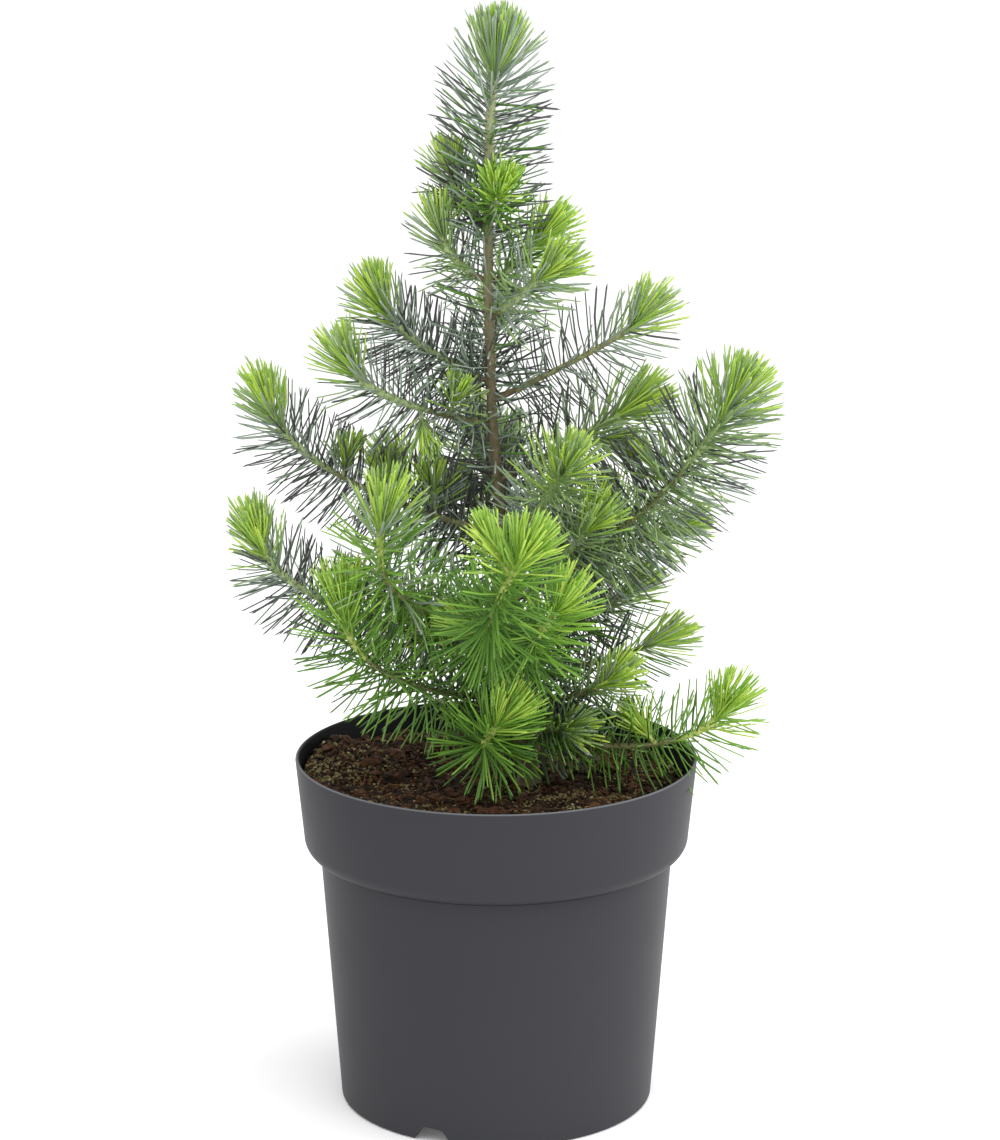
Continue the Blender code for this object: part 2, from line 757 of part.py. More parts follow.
def main():
    clear_scene()
    plant = new_collection("potted_stone_pine")
    cutters = new_collection("cutters")
    make_pot(plant, cutters)
    make_soil(plant)
    make_trunk(plant)
    clearance = trunk_clearance(cutters)

    space = Space()
    space.add_limb(trunk_limb(TRUNK[0].height, TRUNK[-1].height))
    sleeves = {
        "needles_trunk": sleeve_limb(SLEEVE_FOOT, SLEEVE_SPLIT),
        "needles_leader": leader_sleeve(),
    }
    stems = {}
    for name, limb in sleeves.items():
        growth = LEADER_GROWTH if name == "needles_leader" else 0.0
        stems[name] = [Stem(limb.points, limb.radii, LEADER_NEEDLE, -growth)]
        space.add_stem(name, stems[name][0])

    for shoot in SHOOTS:
        if shoot.bare:
            space.add_limb(make_bough(shoot, plant, clearance))
        start = shoot.bare * MM + GAP if shoot.bare else 0.0
        limb = shoot_limb(shoot, start, shoot_length(shoot))
        name = "needles_" + shoot.name
        stems[name] = [Stem(limb.points, limb.radii, NEEDLE_LENGTH * shoot.needle, TUFT_SHORTENING)]
        space.add_stem(name, stems[name][0])
    for shoot in SHOOTS:
        name = "needles_" + shoot.name
        for twig in side_twigs(shoot, stems[name][0], space, name):
            stems[name].append(twig)
            space.add_stem(name, twig)

    passing = passing_limbs(cutters)
    for name, limb in sleeves.items():
        body = limb_object(name, limb, plant, 1)
        make_mass(name, body, stems[name], LEADER_SEED, LEADER_SPACING, space, plant, [clearance, passing])
        colour_with(body, needle_colour(limb.points[-1].z), 0.6)
    for seed, shoot in enumerate(SHOOTS):
        name = "needles_" + shoot.name
        stem = stems[name][0]
        body = limb_object(name, stem, plant, 0)
        cuts = [] if shoot.bare else [clearance]
        make_mass(name, body, stems[name], seed, SPRAY_SPACING, space, plant, cuts)
        colour_with(body, needle_colour(stem.points[-1].z), 0.6)

    origin = bpy.data.objects.new("potted_stone_pine_origin", None)
    plant.objects.link(origin)
    for item in plant.objects:
        if item is not origin:
            item.parent = origin


main()
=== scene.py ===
import json
import random
from math import acos, cos, degrees, exp, hypot, pi, radians, sin, sqrt

import bmesh
import bpy
import numpy as np
from mathutils import Matrix, Vector, noise

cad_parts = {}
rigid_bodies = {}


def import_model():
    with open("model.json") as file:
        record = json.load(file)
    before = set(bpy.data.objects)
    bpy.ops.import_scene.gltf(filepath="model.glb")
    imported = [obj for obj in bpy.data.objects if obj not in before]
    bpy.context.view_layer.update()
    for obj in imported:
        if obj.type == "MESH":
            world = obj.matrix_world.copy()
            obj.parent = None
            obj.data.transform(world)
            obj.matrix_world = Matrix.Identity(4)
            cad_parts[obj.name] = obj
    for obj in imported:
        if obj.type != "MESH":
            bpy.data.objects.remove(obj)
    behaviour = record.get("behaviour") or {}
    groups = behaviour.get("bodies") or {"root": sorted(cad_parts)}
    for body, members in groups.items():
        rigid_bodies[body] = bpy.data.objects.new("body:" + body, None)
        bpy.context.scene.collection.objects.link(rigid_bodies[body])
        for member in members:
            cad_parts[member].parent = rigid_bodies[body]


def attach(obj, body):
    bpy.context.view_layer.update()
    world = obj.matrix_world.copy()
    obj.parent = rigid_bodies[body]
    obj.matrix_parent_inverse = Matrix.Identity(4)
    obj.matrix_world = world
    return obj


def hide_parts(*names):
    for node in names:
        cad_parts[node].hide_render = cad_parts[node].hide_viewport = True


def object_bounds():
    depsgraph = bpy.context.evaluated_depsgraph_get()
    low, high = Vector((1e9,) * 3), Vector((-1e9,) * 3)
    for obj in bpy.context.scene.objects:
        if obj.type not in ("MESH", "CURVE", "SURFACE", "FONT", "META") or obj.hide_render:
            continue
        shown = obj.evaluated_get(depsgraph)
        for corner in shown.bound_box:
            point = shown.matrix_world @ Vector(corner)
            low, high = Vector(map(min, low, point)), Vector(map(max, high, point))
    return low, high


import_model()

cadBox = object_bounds()
mm = 0.001
up = np.array((0.0, 0.0, 1.0))
goldenAngle = radians(137.508)


# Shader helpers

class Value:
    # wraps a node's output, so that shader maths reads as plain expressions
    def __init__(self, finish, socket):
        self.finish = finish
        self.socket = socket

    def maths(self, operation, first, second):
        return self.finish.node("ShaderNodeMath", {"operation": operation}, {0: first, 1: second})

    def __add__(self, other):
        return self.maths("ADD", self, other)

    def __radd__(self, other):
        return self.maths("ADD", other, self)

    def __sub__(self, other):
        return self.maths("SUBTRACT", self, other)

    def __rsub__(self, other):
        return self.maths("SUBTRACT", other, self)

    def __mul__(self, other):
        return self.maths("MULTIPLY", self, other)

    def __rmul__(self, other):
        return self.maths("MULTIPLY", other, self)

    def __truediv__(self, other):
        return self.maths("DIVIDE", self, other)

    def __pow__(self, other):
        return self.maths("POWER", self, other)


class Finish:
    def __init__(self, name):
        self.material = bpy.data.materials.new(name)
        self.material.use_nodes = True
        self.tree = self.material.node_tree
        self.shader = self.tree.nodes["Principled BSDF"]

    def node(self, kind, settings=None, inputs=None, output=0):
        made = self.tree.nodes.new(kind)
        for key, value in (settings or {}).items():
            if key == "stops":
                fillRamp(made.color_ramp, value)
            else:
                setattr(made, key, value)
        for key, value in (inputs or {}).items():
            self.feed(made.inputs[key], value)
        return Value(self, made.outputs[output])

    def feed(self, socket, value):
        if isinstance(value, Value):
            self.tree.links.new(value.socket, socket)
        else:
            socket.default_value = value

    def place(self, stretch=(1, 1, 1)):
        spot = self.node("ShaderNodeTexCoord", output="Object")
        return self.node("ShaderNodeMapping", None, {"Vector": spot, "Scale": stretch})

    def axis(self, index):
        return self.node("ShaderNodeSeparateXYZ", None, {0: self.place()}, index)

    def speckle(self, scale, detail=3.0, stretch=(1, 1, 1), roughness=0.5):
        return self.node("ShaderNodeTexNoise", None, {
            "Vector": self.place(stretch), "Scale": scale, "Detail": detail, "Roughness": roughness})

    def ramp(self, value, stops):
        return self.node("ShaderNodeValToRGB", {"stops": stops}, {"Fac": value})

    def blend(self, factor, first, second):
        return self.node("ShaderNodeMix", {"data_type": "RGBA"}, {0: factor, 6: first, 7: second}, 2)

    def mask(self, value, low, high):
        # black up to one value and white from the other on
        return self.ramp(value, [(low, (0, 0, 0, 1)), (high, (1, 1, 1, 1))])

    def relief(self, height, strength, distance):
        inputs = {"Height": height, "Strength": strength, "Distance": distance}
        self.feed(self.shader.inputs["Normal"], self.node("ShaderNodeBump", None, inputs))

    def set(self, **inputs):
        for key, value in inputs.items():
            self.feed(self.shader.inputs[key.replace("_", " ")], value)
        return self.material


def fillRamp(ramp, stops):
    while len(ramp.elements) < len(stops):
        ramp.elements.new(0.5)
    for element, (position, colour) in zip(ramp.elements, stops):
        element.position = position
        element.color = colour


def linear(red, green, blue):
    # from the 0 to 255 tones of a screen to the renderer's own
    shares = [tone / 255 for tone in (red, green, blue)]
    return tuple(t / 12.92 if t < 0.04 else ((t + 0.055) / 1.055) ** 2.4 for t in shares) + (1.0,)


# Mesh helpers

def joinedPiece(name, verts, faces, material, nodes=(), smooth=True):
    mesh = bpy.data.meshes.new(name)
    mesh.from_pydata(np.asarray(verts).tolist(), [], [list(face) for face in faces])
    mesh.polygons.foreach_set("use_smooth", [smooth] * len(mesh.polygons))
    mesh.materials.append(material)
    mesh.update()
    piece = bpy.data.objects.new(name, mesh)
    bpy.context.scene.collection.objects.link(piece)
    if nodes:
        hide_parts(*nodes)
    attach(piece, "root")


class Heap:
    # gathers many small meshes into one
    def __init__(self):
        self.verts = []
        self.faces = []
        self.count = 0

    def add(self, verts, faces):
        self.verts.append(np.asarray(verts, float))
        self.faces += [[index + self.count for index in face] for face in faces]
        self.count += len(verts)

    def points(self):
        return np.vstack(self.verts)


def unit(vectors):
    return vectors / np.linalg.norm(vectors, axis=-1, keepdims=True)


def crossFrame(along):
    # two directions across a heading, for one heading or for a row of them
    side = np.cross(along, up)
    flat = np.linalg.norm(side, axis=-1) < 0.1
    side = np.where(flat[..., None], np.cross(along, (1.0, 0.0, 0.0)), side)
    side = unit(side)
    return side, np.cross(side, along)


def smoothFrames(points):
    # frames carried along a path with no sudden turn
    along = unit(np.gradient(points, axis=0))
    side, _ = crossFrame(along[0])
    sides = []
    for heading in along:
        side = side - heading * side.dot(heading)
        side = side / np.linalg.norm(side)
        sides.append(side)
    sides = np.array(sides)
    return along, sides, np.cross(sides, along)


def tube(heap, points, radii, sides, relief=None):
    # a closed tube round a path, with its surface moved in and out by the relief
    _, side, across = smoothFrames(points)
    angles = np.linspace(0, 2 * pi, sides, endpoint=False)
    spokes = side[:, None] * np.cos(angles)[None, :, None] + across[:, None] * np.sin(angles)[None, :, None]
    reach = np.repeat(np.asarray(radii)[:, None], sides, axis=1)
    verts = points[:, None] + spokes * reach[..., None]
    if relief:
        for row in range(len(points)):
            for column in range(sides):
                reach[row, column] += relief(Vector(verts[row, column]), radii[row])
        verts = points[:, None] + spokes * reach[..., None]
    rows = len(points)
    verts = list(verts.reshape(-1, 3)) + [points[0], points[-1]]
    faces = []
    for row in range(rows - 1):
        for column in range(sides):
            after = (column + 1) % sides
            low, high = row * sides, (row + 1) * sides
            faces.append((low + column, low + after, high + after, high + column))
    last = (rows - 1) * sides
    for column in range(sides):
        after = (column + 1) % sides
        faces.append((rows * sides, after, column))
        faces.append((rows * sides + 1, last + column, last + after))
    heap.add(verts, faces)


# The pot

pot = {
    "height": 168.6 * mm,
    "rimRadius": 95.0 * mm,
    "rimRound": 0.9 * mm,
    "collarRadius": 91.2 * mm,
    "collarHeight": 38.0 * mm,
    "stepHeight": 46.0 * mm,
    "bodyTop": 83.6 * mm,
    "bodyFoot": 74.5 * mm,
    "footRound": 2.0 * mm,
    "wall": 1.9 * mm,
    "floorInset": 0.6 * mm,
    "ringWidth": 3.5 * mm,
    "channelWidth": 10.0 * mm,
    "channelHeight": 6.0 * mm,
    # depth and drop of each point of the crease under the shoulder
    "crease": ((0.35 * mm, 0.2 * mm), (0.35 * mm, 0.6 * mm), (0.1 * mm, 1.0 * mm)),
    "facets": {"rim": 8, "shoulder": 12, "foot": 6},
    "steps": 180,
    "mergeGap": 0.01 * mm,
    "sharpAngle": 35,
    "notches": 3,
    "notchAngle": radians(-113.7),
    "notchWidths": (20.0 * mm, 9.8 * mm),
    "notchHeight": 7.4 * mm,
    "notchDepth": 8.0 * mm,
    "notchBevel": 0.6 * mm,
    "notchSink": 0.1 * mm,
    "bodyTones": ((54, 54, 58), (60, 60, 64)),
    # painted highlight: the pale tone along the top edge of the rim
    "lipHighlightTone": (106, 108, 112),
    # painted shade: the tone that darkens the inner face of the collar
    "insideShadeTone": (27, 28, 30),
    "cloud": 7.0,
    "grain": 1400.0,
    "grainStrength": 0.10,
    "grainDepth": 0.2 * mm,
    "roughness": (0.42, 0.10),
}


def innerWall(height):
    stepTop = pot["height"] - pot["collarHeight"]
    if height >= stepTop:
        outer = np.interp(height, (stepTop, pot["height"]), (pot["collarRadius"], pot["rimRadius"]))
    else:
        outer = np.interp(height, (0, pot["height"] - pot["stepHeight"]), (pot["bodyFoot"], pot["bodyTop"]))
    return outer - pot["wall"]


def arc(centre, radii, start, end, count):
    points = []
    for index in range(count + 1):
        angle = radians(start + (end - start) * index / count)
        points.append((centre[0] + radii[0] * cos(angle), centre[1] + radii[1] * sin(angle)))
    return points


def potProfile():
    top, wall, rounding = pot["height"], pot["wall"], pot["rimRound"]
    stepTop, stepFoot = top - pot["collarHeight"], top - pot["stepHeight"]
    collar, body, foot, footRound = pot["collarRadius"], pot["bodyTop"], pot["bodyFoot"], pot["footRound"]
    ring = foot - pot["ringWidth"]
    disc = ring - pot["channelWidth"]
    ledge = pot["channelHeight"] + wall
    inside = [(0, wall), (disc - 2 * wall, wall), (disc - wall, ledge)]
    inside += [(foot - wall - pot["floorInset"], ledge)]
    inside += [(body - wall, stepFoot - mm), (body - wall + mm, stepFoot)]
    inside += [(collar - wall - mm, stepTop), (collar - wall, stepTop + mm)]
    facets = pot["facets"]
    rim = arc((pot["rimRadius"] - rounding, top - rounding), (rounding, rounding), 180, 0, facets["rim"])
    shoulder = arc((body, stepTop), (collar - body, stepTop - stepFoot), 0, -90, facets["shoulder"])
    crease = [(body - depth, stepFoot - drop) for depth, drop in pot["crease"]]
    base = arc((foot - footRound, footRound), (footRound, footRound), 0, -90, facets["foot"])
    under = [(ring, 0), (ring, pot["channelHeight"]), (disc, pot["channelHeight"]), (disc - wall, 0)]
    return inside + rim + shoulder + crease + base + under + [(0, 0)]


def notchCutters(collection):
    wide, narrow = pot["notchWidths"]
    for index in range(pot["notches"]):
        shape = bmesh.new()
        bmesh.ops.create_cube(shape, size=1.0)
        for vertex in shape.verts:
            x, y, z = vertex.co
            width = narrow if z > 0 else wide
            vertex.co = Vector((x * pot["notchDepth"], y * width, z * pot["notchHeight"]))
        bmesh.ops.bevel(shape, geom=[edge for edge in shape.edges if min(v.co.z for v in edge.verts) > 0],
                        offset=pot["notchBevel"], segments=3, affect="EDGES")
        mesh = bpy.data.meshes.new("notch")
        shape.to_mesh(mesh)
        shape.free()
        cutter = bpy.data.objects.new("notch", mesh)
        angle = pot["notchAngle"] + index * 2 * pi / pot["notches"]
        out = pot["bodyFoot"] - pot["ringWidth"] / 2
        cutter.location = (out * cos(angle), out * sin(angle), pot["notchHeight"] / 2 - pot["notchSink"])
        cutter.rotation_euler = (0, 0, angle)
        collection.objects.link(cutter)


def potFinish():
    # painted shade makes it nearly black inside, and a painted highlight makes the rim's top edge paler
    finish = Finish("anthracite plastic")
    x, y, z = finish.axis(0), finish.axis(1), finish.axis(2)
    out = (x * x + y * y) ** 0.5
    stepTop = pot["height"] - pot["collarHeight"]
    slope = (pot["rimRadius"] - pot["collarRadius"]) / pot["collarHeight"]
    depth = (pot["collarRadius"] + (z - stepTop) * slope - out) / pot["wall"]
    above = finish.mask((z - stepTop) / mm, 0.0, 1.0)
    inside = above * finish.mask(depth, 0.45, 0.6)
    # painted highlight along the very top of the rim
    lipHighlight = finish.mask((z - pot["height"]) / mm + 1.0, 0.35, 0.8)
    dark, light = pot["bodyTones"]
    colour = finish.blend(finish.speckle(pot["cloud"], 2.0), linear(*dark), linear(*light))
    colour = finish.blend(lipHighlight, colour, linear(*pot["lipHighlightTone"]))
    # painted shade: the inner face of the collar turns nearly black
    colour = finish.blend(inside, colour, linear(*pot["insideShadeTone"]))
    finish.relief(finish.speckle(pot["grain"], 2.0), pot["grainStrength"], pot["grainDepth"])
    least, more = pot["roughness"]
    return finish.set(Base_Color=colour, Roughness=least + more * finish.speckle(30.0, 3.0),
                      Specular_IOR_Level=0.1)


def makePot():
    mesh = bpy.data.meshes.new("pot_shell")
    profile = potProfile()
    edges = [(index, index + 1) for index in range(len(profile) - 1)]
    mesh.from_pydata([(radius, 0, height) for radius, height in profile], edges, [])
    piece = bpy.data.objects.new("pot_shell", mesh)
    bpy.context.scene.collection.objects.link(piece)
    screw = piece.modifiers.new("turn", "SCREW")
    screw.steps = pot["steps"]
    screw.render_steps = pot["steps"]
    screw.use_merge_vertices = True
    screw.merge_threshold = pot["mergeGap"]
    notches = bpy.data.collections.new("notches")
    bpy.context.scene.collection.children.link(notches)
    notchCutters(notches)
    cut = piece.modifiers.new("notches", "BOOLEAN")
    cut.operand_type = "COLLECTION"
    cut.collection = notches
    cut.operation = "DIFFERENCE"
    graph = bpy.context.evaluated_depsgraph_get()
    graph.update()
    piece.data = bpy.data.meshes.new_from_object(piece.evaluated_get(graph))
    piece.modifiers.clear()
    for cutter in list(notches.objects):
        bpy.data.objects.remove(cutter)
    bpy.data.collections.remove(notches)
    piece.data.shade_smooth()
    piece.data.set_sharp_from_angle(angle=radians(pot["sharpAngle"]))
    piece.data.materials.clear()
    piece.data.materials.append(potFinish())
    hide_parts("pot")
    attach(piece, "root")
    print("pot made")


# The soil

soil = {
    "level": 154.0 * mm,
    "relief": 1.7 * mm,
    "waves": (17 * mm, 21 * mm, 9 * mm),
    "flatPatch": 14.0 * mm,
    "moundPlace": (-74.0 * mm, 30.0 * mm),
    "moundRadius": 32.0 * mm,
    "moundHeight": 10.0 * mm,
    # size and height of the clods, crumbs and grains that the ground itself shows
    "roughness": ((8 * mm, 2.8 * mm), (3 * mm, 1.7 * mm), (0.9 * mm, 0.45 * mm)),
    "rings": 80,
    "spokes": 200,
    "depth": 8.0 * mm,
    "wallGap": 0.4 * mm,
    "lumpGap": 0.6 * mm,
    "trunkGap": 6 * mm,
    "tones": ((20, 15, 11), (56, 39, 26)),
    "pattern": 240.0,
    # x, y and size in mm of the gritty places, and how gritty they are
    "gritPlaces": ((-80, 12, 26, 1.0), (40, -26, 21, 1.0), (10, 66, 26, 0.7)),
    "wallGrit": 0.45,
    "wallGritPlace": 86,
    "wallGritWidth": 14,
    "patchSizes": (11 * mm, 3 * mm),
    "seed": 11,
}
trunkFoot = 15.0 * mm


def soilHeight(x, y):
    along, back, slant = soil["waves"]
    relief = sin(x / along + 0.6) * cos(y / back) + 0.5 * sin((x + y) / slant)
    away = hypot(x - trunkFoot, y)
    blend = min(max((away - soil["flatPatch"]) / soil["flatPatch"], 0), 1)
    # the filling lies higher by the wall at the left
    side, back = soil["moundPlace"]
    mound = soil["moundHeight"] * exp(-(hypot(x - side, y - back) / soil["moundRadius"]) ** 2)
    return soil["level"] + mound + soil["relief"] * relief * blend * blend * (3 - 2 * blend)


def roughSoil(x, y):
    # the same ground with its clods and hollows
    height = soilHeight(x, y)
    for layer, (size, relief) in enumerate(soil["roughness"]):
        height += relief * noise.noise(Vector((x, y, 0.1 * layer)) / size)
    return height


def grittiness(x, y):
    # ochre grit lies along the wall, at the left, at the right of the front, at the back and in patches
    fromWall = hypot(x, y) / mm - soil["wallGritPlace"]
    most = soil["wallGrit"] * exp(-fromWall ** 2 / soil["wallGritWidth"] ** 2)
    for side, back, size, share in soil["gritPlaces"]:
        most = max(most, share * exp(-((x - side * mm) ** 2 + (y - back * mm) ** 2) / (size * mm) ** 2))
    coarse, fine = soil["patchSizes"]
    patches = noise.noise(Vector((x, y, 3)) / coarse) + 0.8 * noise.noise(Vector((x, y, 5)) / fine)
    return most + 1.1 * patches - 0.15


def peaty(x, y):
    return 1.0 - 0.6 * min(max(grittiness(x, y), 0), 1)


def gritty(x, y):
    return min(max(grittiness(x, y), 0.03), 1)


def soilFinish(name, dark, light, scale):
    finish = Finish(name)
    cloud = finish.speckle(scale, 5.0, roughness=0.7)
    colour = finish.blend(finish.mask(cloud, 0.35, 0.65), linear(*dark), linear(*light))
    finish.relief(finish.speckle(scale * 6, 4.0), 0.6, 0.4 * mm)
    return finish.set(Base_Color=colour, Roughness=0.82 + 0.15 * cloud, Specular_IOR_Level=0.25)


def makeGround():
    edge = innerWall(soil["level"]) - soil["wallGap"]
    rings, spokes = soil["rings"], soil["spokes"]
    verts = [(0, 0, roughSoil(0, 0))]
    for ring in range(1, rings + 1):
        radius = edge * ring / rings
        for spoke in range(spokes):
            angle = 2 * pi * spoke / spokes
            x, y = radius * cos(angle), radius * sin(angle)
            verts.append((x, y, roughSoil(x, y)))
    faces = [(0, 1 + spoke, 1 + (spoke + 1) % spokes) for spoke in range(spokes)]
    for ring in range(rings - 1):
        for spoke in range(spokes):
            after = (spoke + 1) % spokes
            inner, outer = 1 + ring * spokes, 1 + (ring + 1) * spokes
            faces.append((inner + spoke, outer + spoke, outer + after, inner + after))
    # a skirt and a floor close the ground below
    last = 1 + (rings - 1) * spokes
    skirt = len(verts)
    for spoke in range(spokes):
        angle = 2 * pi * spoke / spokes
        verts.append((edge * cos(angle), edge * sin(angle), soil["level"] - soil["depth"]))
    for spoke in range(spokes):
        after = (spoke + 1) % spokes
        faces.append((last + spoke, skirt + spoke, skirt + after, last + after))
    faces.append([skirt + spoke for spoke in reversed(range(spokes))])
    finish = soilFinish("peat", *soil["tones"], soil["pattern"])
    joinedPiece("peat_ground", verts, faces, finish, ["soil"])


def lumpShape(subdivisions):
    shape = bmesh.new()
    bmesh.ops.create_icosphere(shape, subdivisions=subdivisions, radius=1.0)
    verts = np.array([vertex.co[:] for vertex in shape.verts])
    faces = [[vertex.index for vertex in face.verts] for face in shape.faces]
    shape.free()
    return verts, faces


def scatterSpot(chance, size, wanted=None):
    while True:
        angle = chance.uniform(0, 2 * pi)
        out = sqrt(chance.random()) * (innerWall(soil["level"]) - size - soil["lumpGap"])
        x, y = out * cos(angle), out * sin(angle)
        if hypot(x - trunkFoot, y) < soil["trunkGap"]:
            continue
        if wanted is None or chance.random() < wanted(x, y):
            return x, y


# the lumps that lie on the soil: their number, sizes in mm and subdivisions, their finish with its dark and
# light tone and the scale of its pattern, where they lie, how high they stand and how flat they are
lumpKinds = {
    "peat_chunks": (90, (2.2, 4.6), 2, "red-brown chunks", (46, 29, 19), (106, 72, 48), 420.0,
        peaty, 0.15, 0.7),
    "peat_clods": (520, (1.4, 3.2), 2, "dark clods", (24, 17, 12), (78, 54, 36), 240.0,
        peaty, 0.1, 0.7),
    "peat_crumbs_dark": (2600, (0.5, 1.5), 1, "dark crumbs", (28, 21, 14), (62, 46, 30), 240.0,
        peaty, 0.35, 0.7),
    "peat_crumbs_red": (2600, (0.4, 1.3), 1, "red-brown crumbs", (72, 42, 26), (118, 78, 48), 240.0,
        peaty, 0.35, 0.7),
    "ochre_grit": (4400, (0.3, 0.95), 1, "ochre grit", (76, 70, 42), (156, 144, 100), 420.0,
        gritty, 0.5, 1.0),
    "pale_grains": (420, (0.4, 0.9), 1, "pale grains", (150, 132, 96), (200, 186, 148), 600.0,
        gritty, 0.8, 0.7),
}


def lumps(name, chance):
    count, sizes, subdivisions, label, dark, light, scale, wanted, rise, flat = lumpKinds[name]
    heap = Heap()
    shape, faces = lumpShape(subdivisions)
    for _ in range(count):
        size = chance.uniform(*sizes) * mm
        x, y = scatterSpot(chance, size, wanted)
        jitter = np.array([chance.uniform(0.6, 1.25) for _ in shape])
        stretch = [chance.uniform(0.7, 1.4), chance.uniform(0.7, 1.2), chance.uniform(0.5, 1.0) * flat]
        turn = np.array(Matrix.Rotation(chance.uniform(0, 2 * pi), 3, "Z")
                        @ Matrix.Rotation(chance.uniform(-0.6, 0.6), 3, "X"))
        verts = (shape * jitter[:, None] * np.array(stretch) * size) @ turn.T
        heap.add(verts + np.array((x, y, roughSoil(x, y) + size * rise)), faces)
    finish = soilFinish(label, dark, light, scale)
    joinedPiece(name, heap.points(), heap.faces, finish, smooth=False)


# dry fibres on the soil, with lengths, heights and radii in mm
fibre = {
    "count": 240,
    "lengths": (4, 16),
    "bend": 1.2,
    "rest": 0.5 * mm,
    "lifts": (0.2, 1.6),
    "radii": (0.12, 0.32),
    "steps": 6,
    "sides": 5,
    "tones": ((92, 62, 36), (150, 112, 70)),
    "pattern": 500.0,
}


def fibres(chance):
    heap = Heap()
    steps = fibre["steps"]
    for _ in range(fibre["count"]):
        length = chance.uniform(*fibre["lengths"]) * mm
        x, y = scatterSpot(chance, length / 2)
        heading = chance.uniform(0, 2 * pi)
        bend = chance.uniform(-fibre["bend"], fibre["bend"])
        lift = chance.uniform(*fibre["lifts"]) * mm
        points = []
        for index in range(steps + 1):
            part = index / steps - 0.5
            angle = heading + bend * part
            px, py = x + length * part * cos(angle), y + length * part * sin(angle)
            points.append((px, py, roughSoil(px, py) + fibre["rest"] + lift * (1 - 4 * part * part)))
        radius = chance.uniform(*fibre["radii"]) * mm
        radii = [radius * (1 - 0.5 * abs(index / (steps / 2) - 1)) for index in range(steps + 1)]
        tube(heap, np.array(points), radii, fibre["sides"])
    finish = soilFinish("dry fibre", *fibre["tones"], fibre["pattern"])
    joinedPiece("peat_fibres", heap.points(), heap.faces, finish)


def makeSoil():
    chance = random.Random(soil["seed"])
    makeGround()
    for name in lumpKinds:
        lumps(name, chance)
    fibres(chance)
    print("soil made")


# The trunk, boughs and shoots

# height, lean and radius of the trunk, in mm
trunk = [(154.3, 15.0, 6.4), (156, 15.0, 5.3), (160, 15.0, 4.6), (170, 14.8, 4.1), (190, 13.4, 3.9),
         (212, 11.0, 3.6), (258, 5.4, 3.1), (300, 0.6, 2.6), (340, -2.3, 2.3), (390, -3.6, 2.3),
         (435, -3.5, 2.4), (472, -2.6, 2.3), (493, 0.2, 1.4)]

# height, azimuth in degrees, reach, rise, bend out and up as shares of these two, bare length,
# needle length against the usual, how far the bend lies to the left of its heading, tone of the old needles,
# bright tip and tone of the stem; the lengths are in mm
shoots = {
    "top_left": (418, 160, 19, 28, 0.9, 0.7, 0, 0.8, 0, "mid", 7, "green"),
    "top_front": (424, -77, 22, 16, 0.6, 0.4, 0, 0.8, 0, "fresh", 13, "green"),
    "upper_left": (395, -170, 22, 27, 1, 0.4, 0, 0.85, 0, "mid", 8, "green"),
    "upper_right": (393, 18, 27, 22, 0.6, 0.5, 0, 0.92, 0, "fresh", 15, "green"),
    "upper_front": (377, -32, 33, 26, 0.5, 0.5, 0, 0.95, 0, "pale", 14, "green"),
    "upper_back": (345, 88, 36, 26, 0.7, 0.4, 0, 1, 0, "blue", 10, "green"),
    "left_high": (348, 175, 51, 37, 0.95, 0.6, 0, 0.95, 0, "blue", 12, "green"),
    "left_middle": (328, -170, 67, 31, 0.9, 0.4, 0, 1, 0, "blue", 13, "green"),
    "right_high": (339, 10, 71, 37, 0.9, 0.75, 12, 1, 0, "slate", 17, "olive"),
    "right_middle": (301, 15, 65, 32, 0.6, 0.55, 14, 1.08, 0, "mid", 20, "green"),
    "back_left_high": (290, 98, 58, 24, 0.7, 0.4, 13, 1, 0, "mid", 12, "olive"),
    "back_right_high": (285, 86, 60, 18, 0.7, 0.4, 13, 1, 0, "mid", 12, "olive"),
    "left_far": (275, 175, 110, 61, 0.9, 0.4, 17, 0.95, 0, "slate", 15, "green"),
    "front_right": (263, -55, 47, 52, 0.45, 0.5, 12, 1, 0, "pale", 22, "green"),
    "right_far": (258, -8, 106, 87, 0.6, 0.12, 18, 1.22, 0, "mid", 16, "green"),
    "back_middle": (250, 100, 78, 50, 0.8, 0.4, 17, 1, 0, "blue", 12, "olive"),
    "front_right_small": (249, -40, 48, 38, 0.6, 0.4, 14, 1, 0, "mid", 16, "green"),
    "right_under": (243, 15, 81, 31, 0.5, 0.7, 16, 0.88, 0, "deep", 16, "olive"),
    "front_left": (235, -134, 84, 64, 1.05, 0.15, 15, 1.1, -16, "grass", 15, "yellow"),
    "front_middle": (225, -88, 95, 64, 0.85, 0.2, 16, 1.05, -30, "fresh", 13, "yellow"),
    "right_short": (220, 25, 61, 23, 0.6, 0.4, 14, 0.88, 0, "deep", 14, "olive"),
    "left_low": (217, -165, 124, 65, 0.94, 0.45, 18, 0.98, 0, "slate", 16, "green"),
    "front_small": (215, -75, 72, 44, 0.8, 0.3, 16, 1, -18, "fresh", 18, "yellow"),
    "back_right": (212, 60, 85, 42, 0.8, 0.4, 17, 1, 0, "deep", 12, "olive"),
    "back_left": (266, 132, 78, 28, 0.85, 0.4, 17, 1, 0, "deep", 12, "olive"),
    "right_low": (204, 10, 67, 17, 0.6, 0.5, 15, 0.9, 0, "deep", 14, "olive"),
    "front_left_low": (196, -150, 95, 57, 1, 0.25, 16, 1.12, 0, "fresh", 13, "yellow"),
    "front_right_low": (193, -25, 45, 18, 0.8, 0.5, 0, 0.88, 0, "deep", 14, "olive"),
    "back_low": (190, 92, 62, 14, 0.7, 0.3, 14, 1, 0, "deep", 10, "olive"),
    "front_star": (185, -100, 58, 18, 0.95, -0.6, 13, 1, -24, "fresh", 11, "yellow"),
    "foot_right": (182, -50, 30, 5, 0.6, 0.4, 0, 1, 0, "deep", 6, "olive"),
    "over_rim": (177, -12, 95, 20, 0.8, -0.45, 11, 1, 0, "fresh", 18, "yellow"),
}

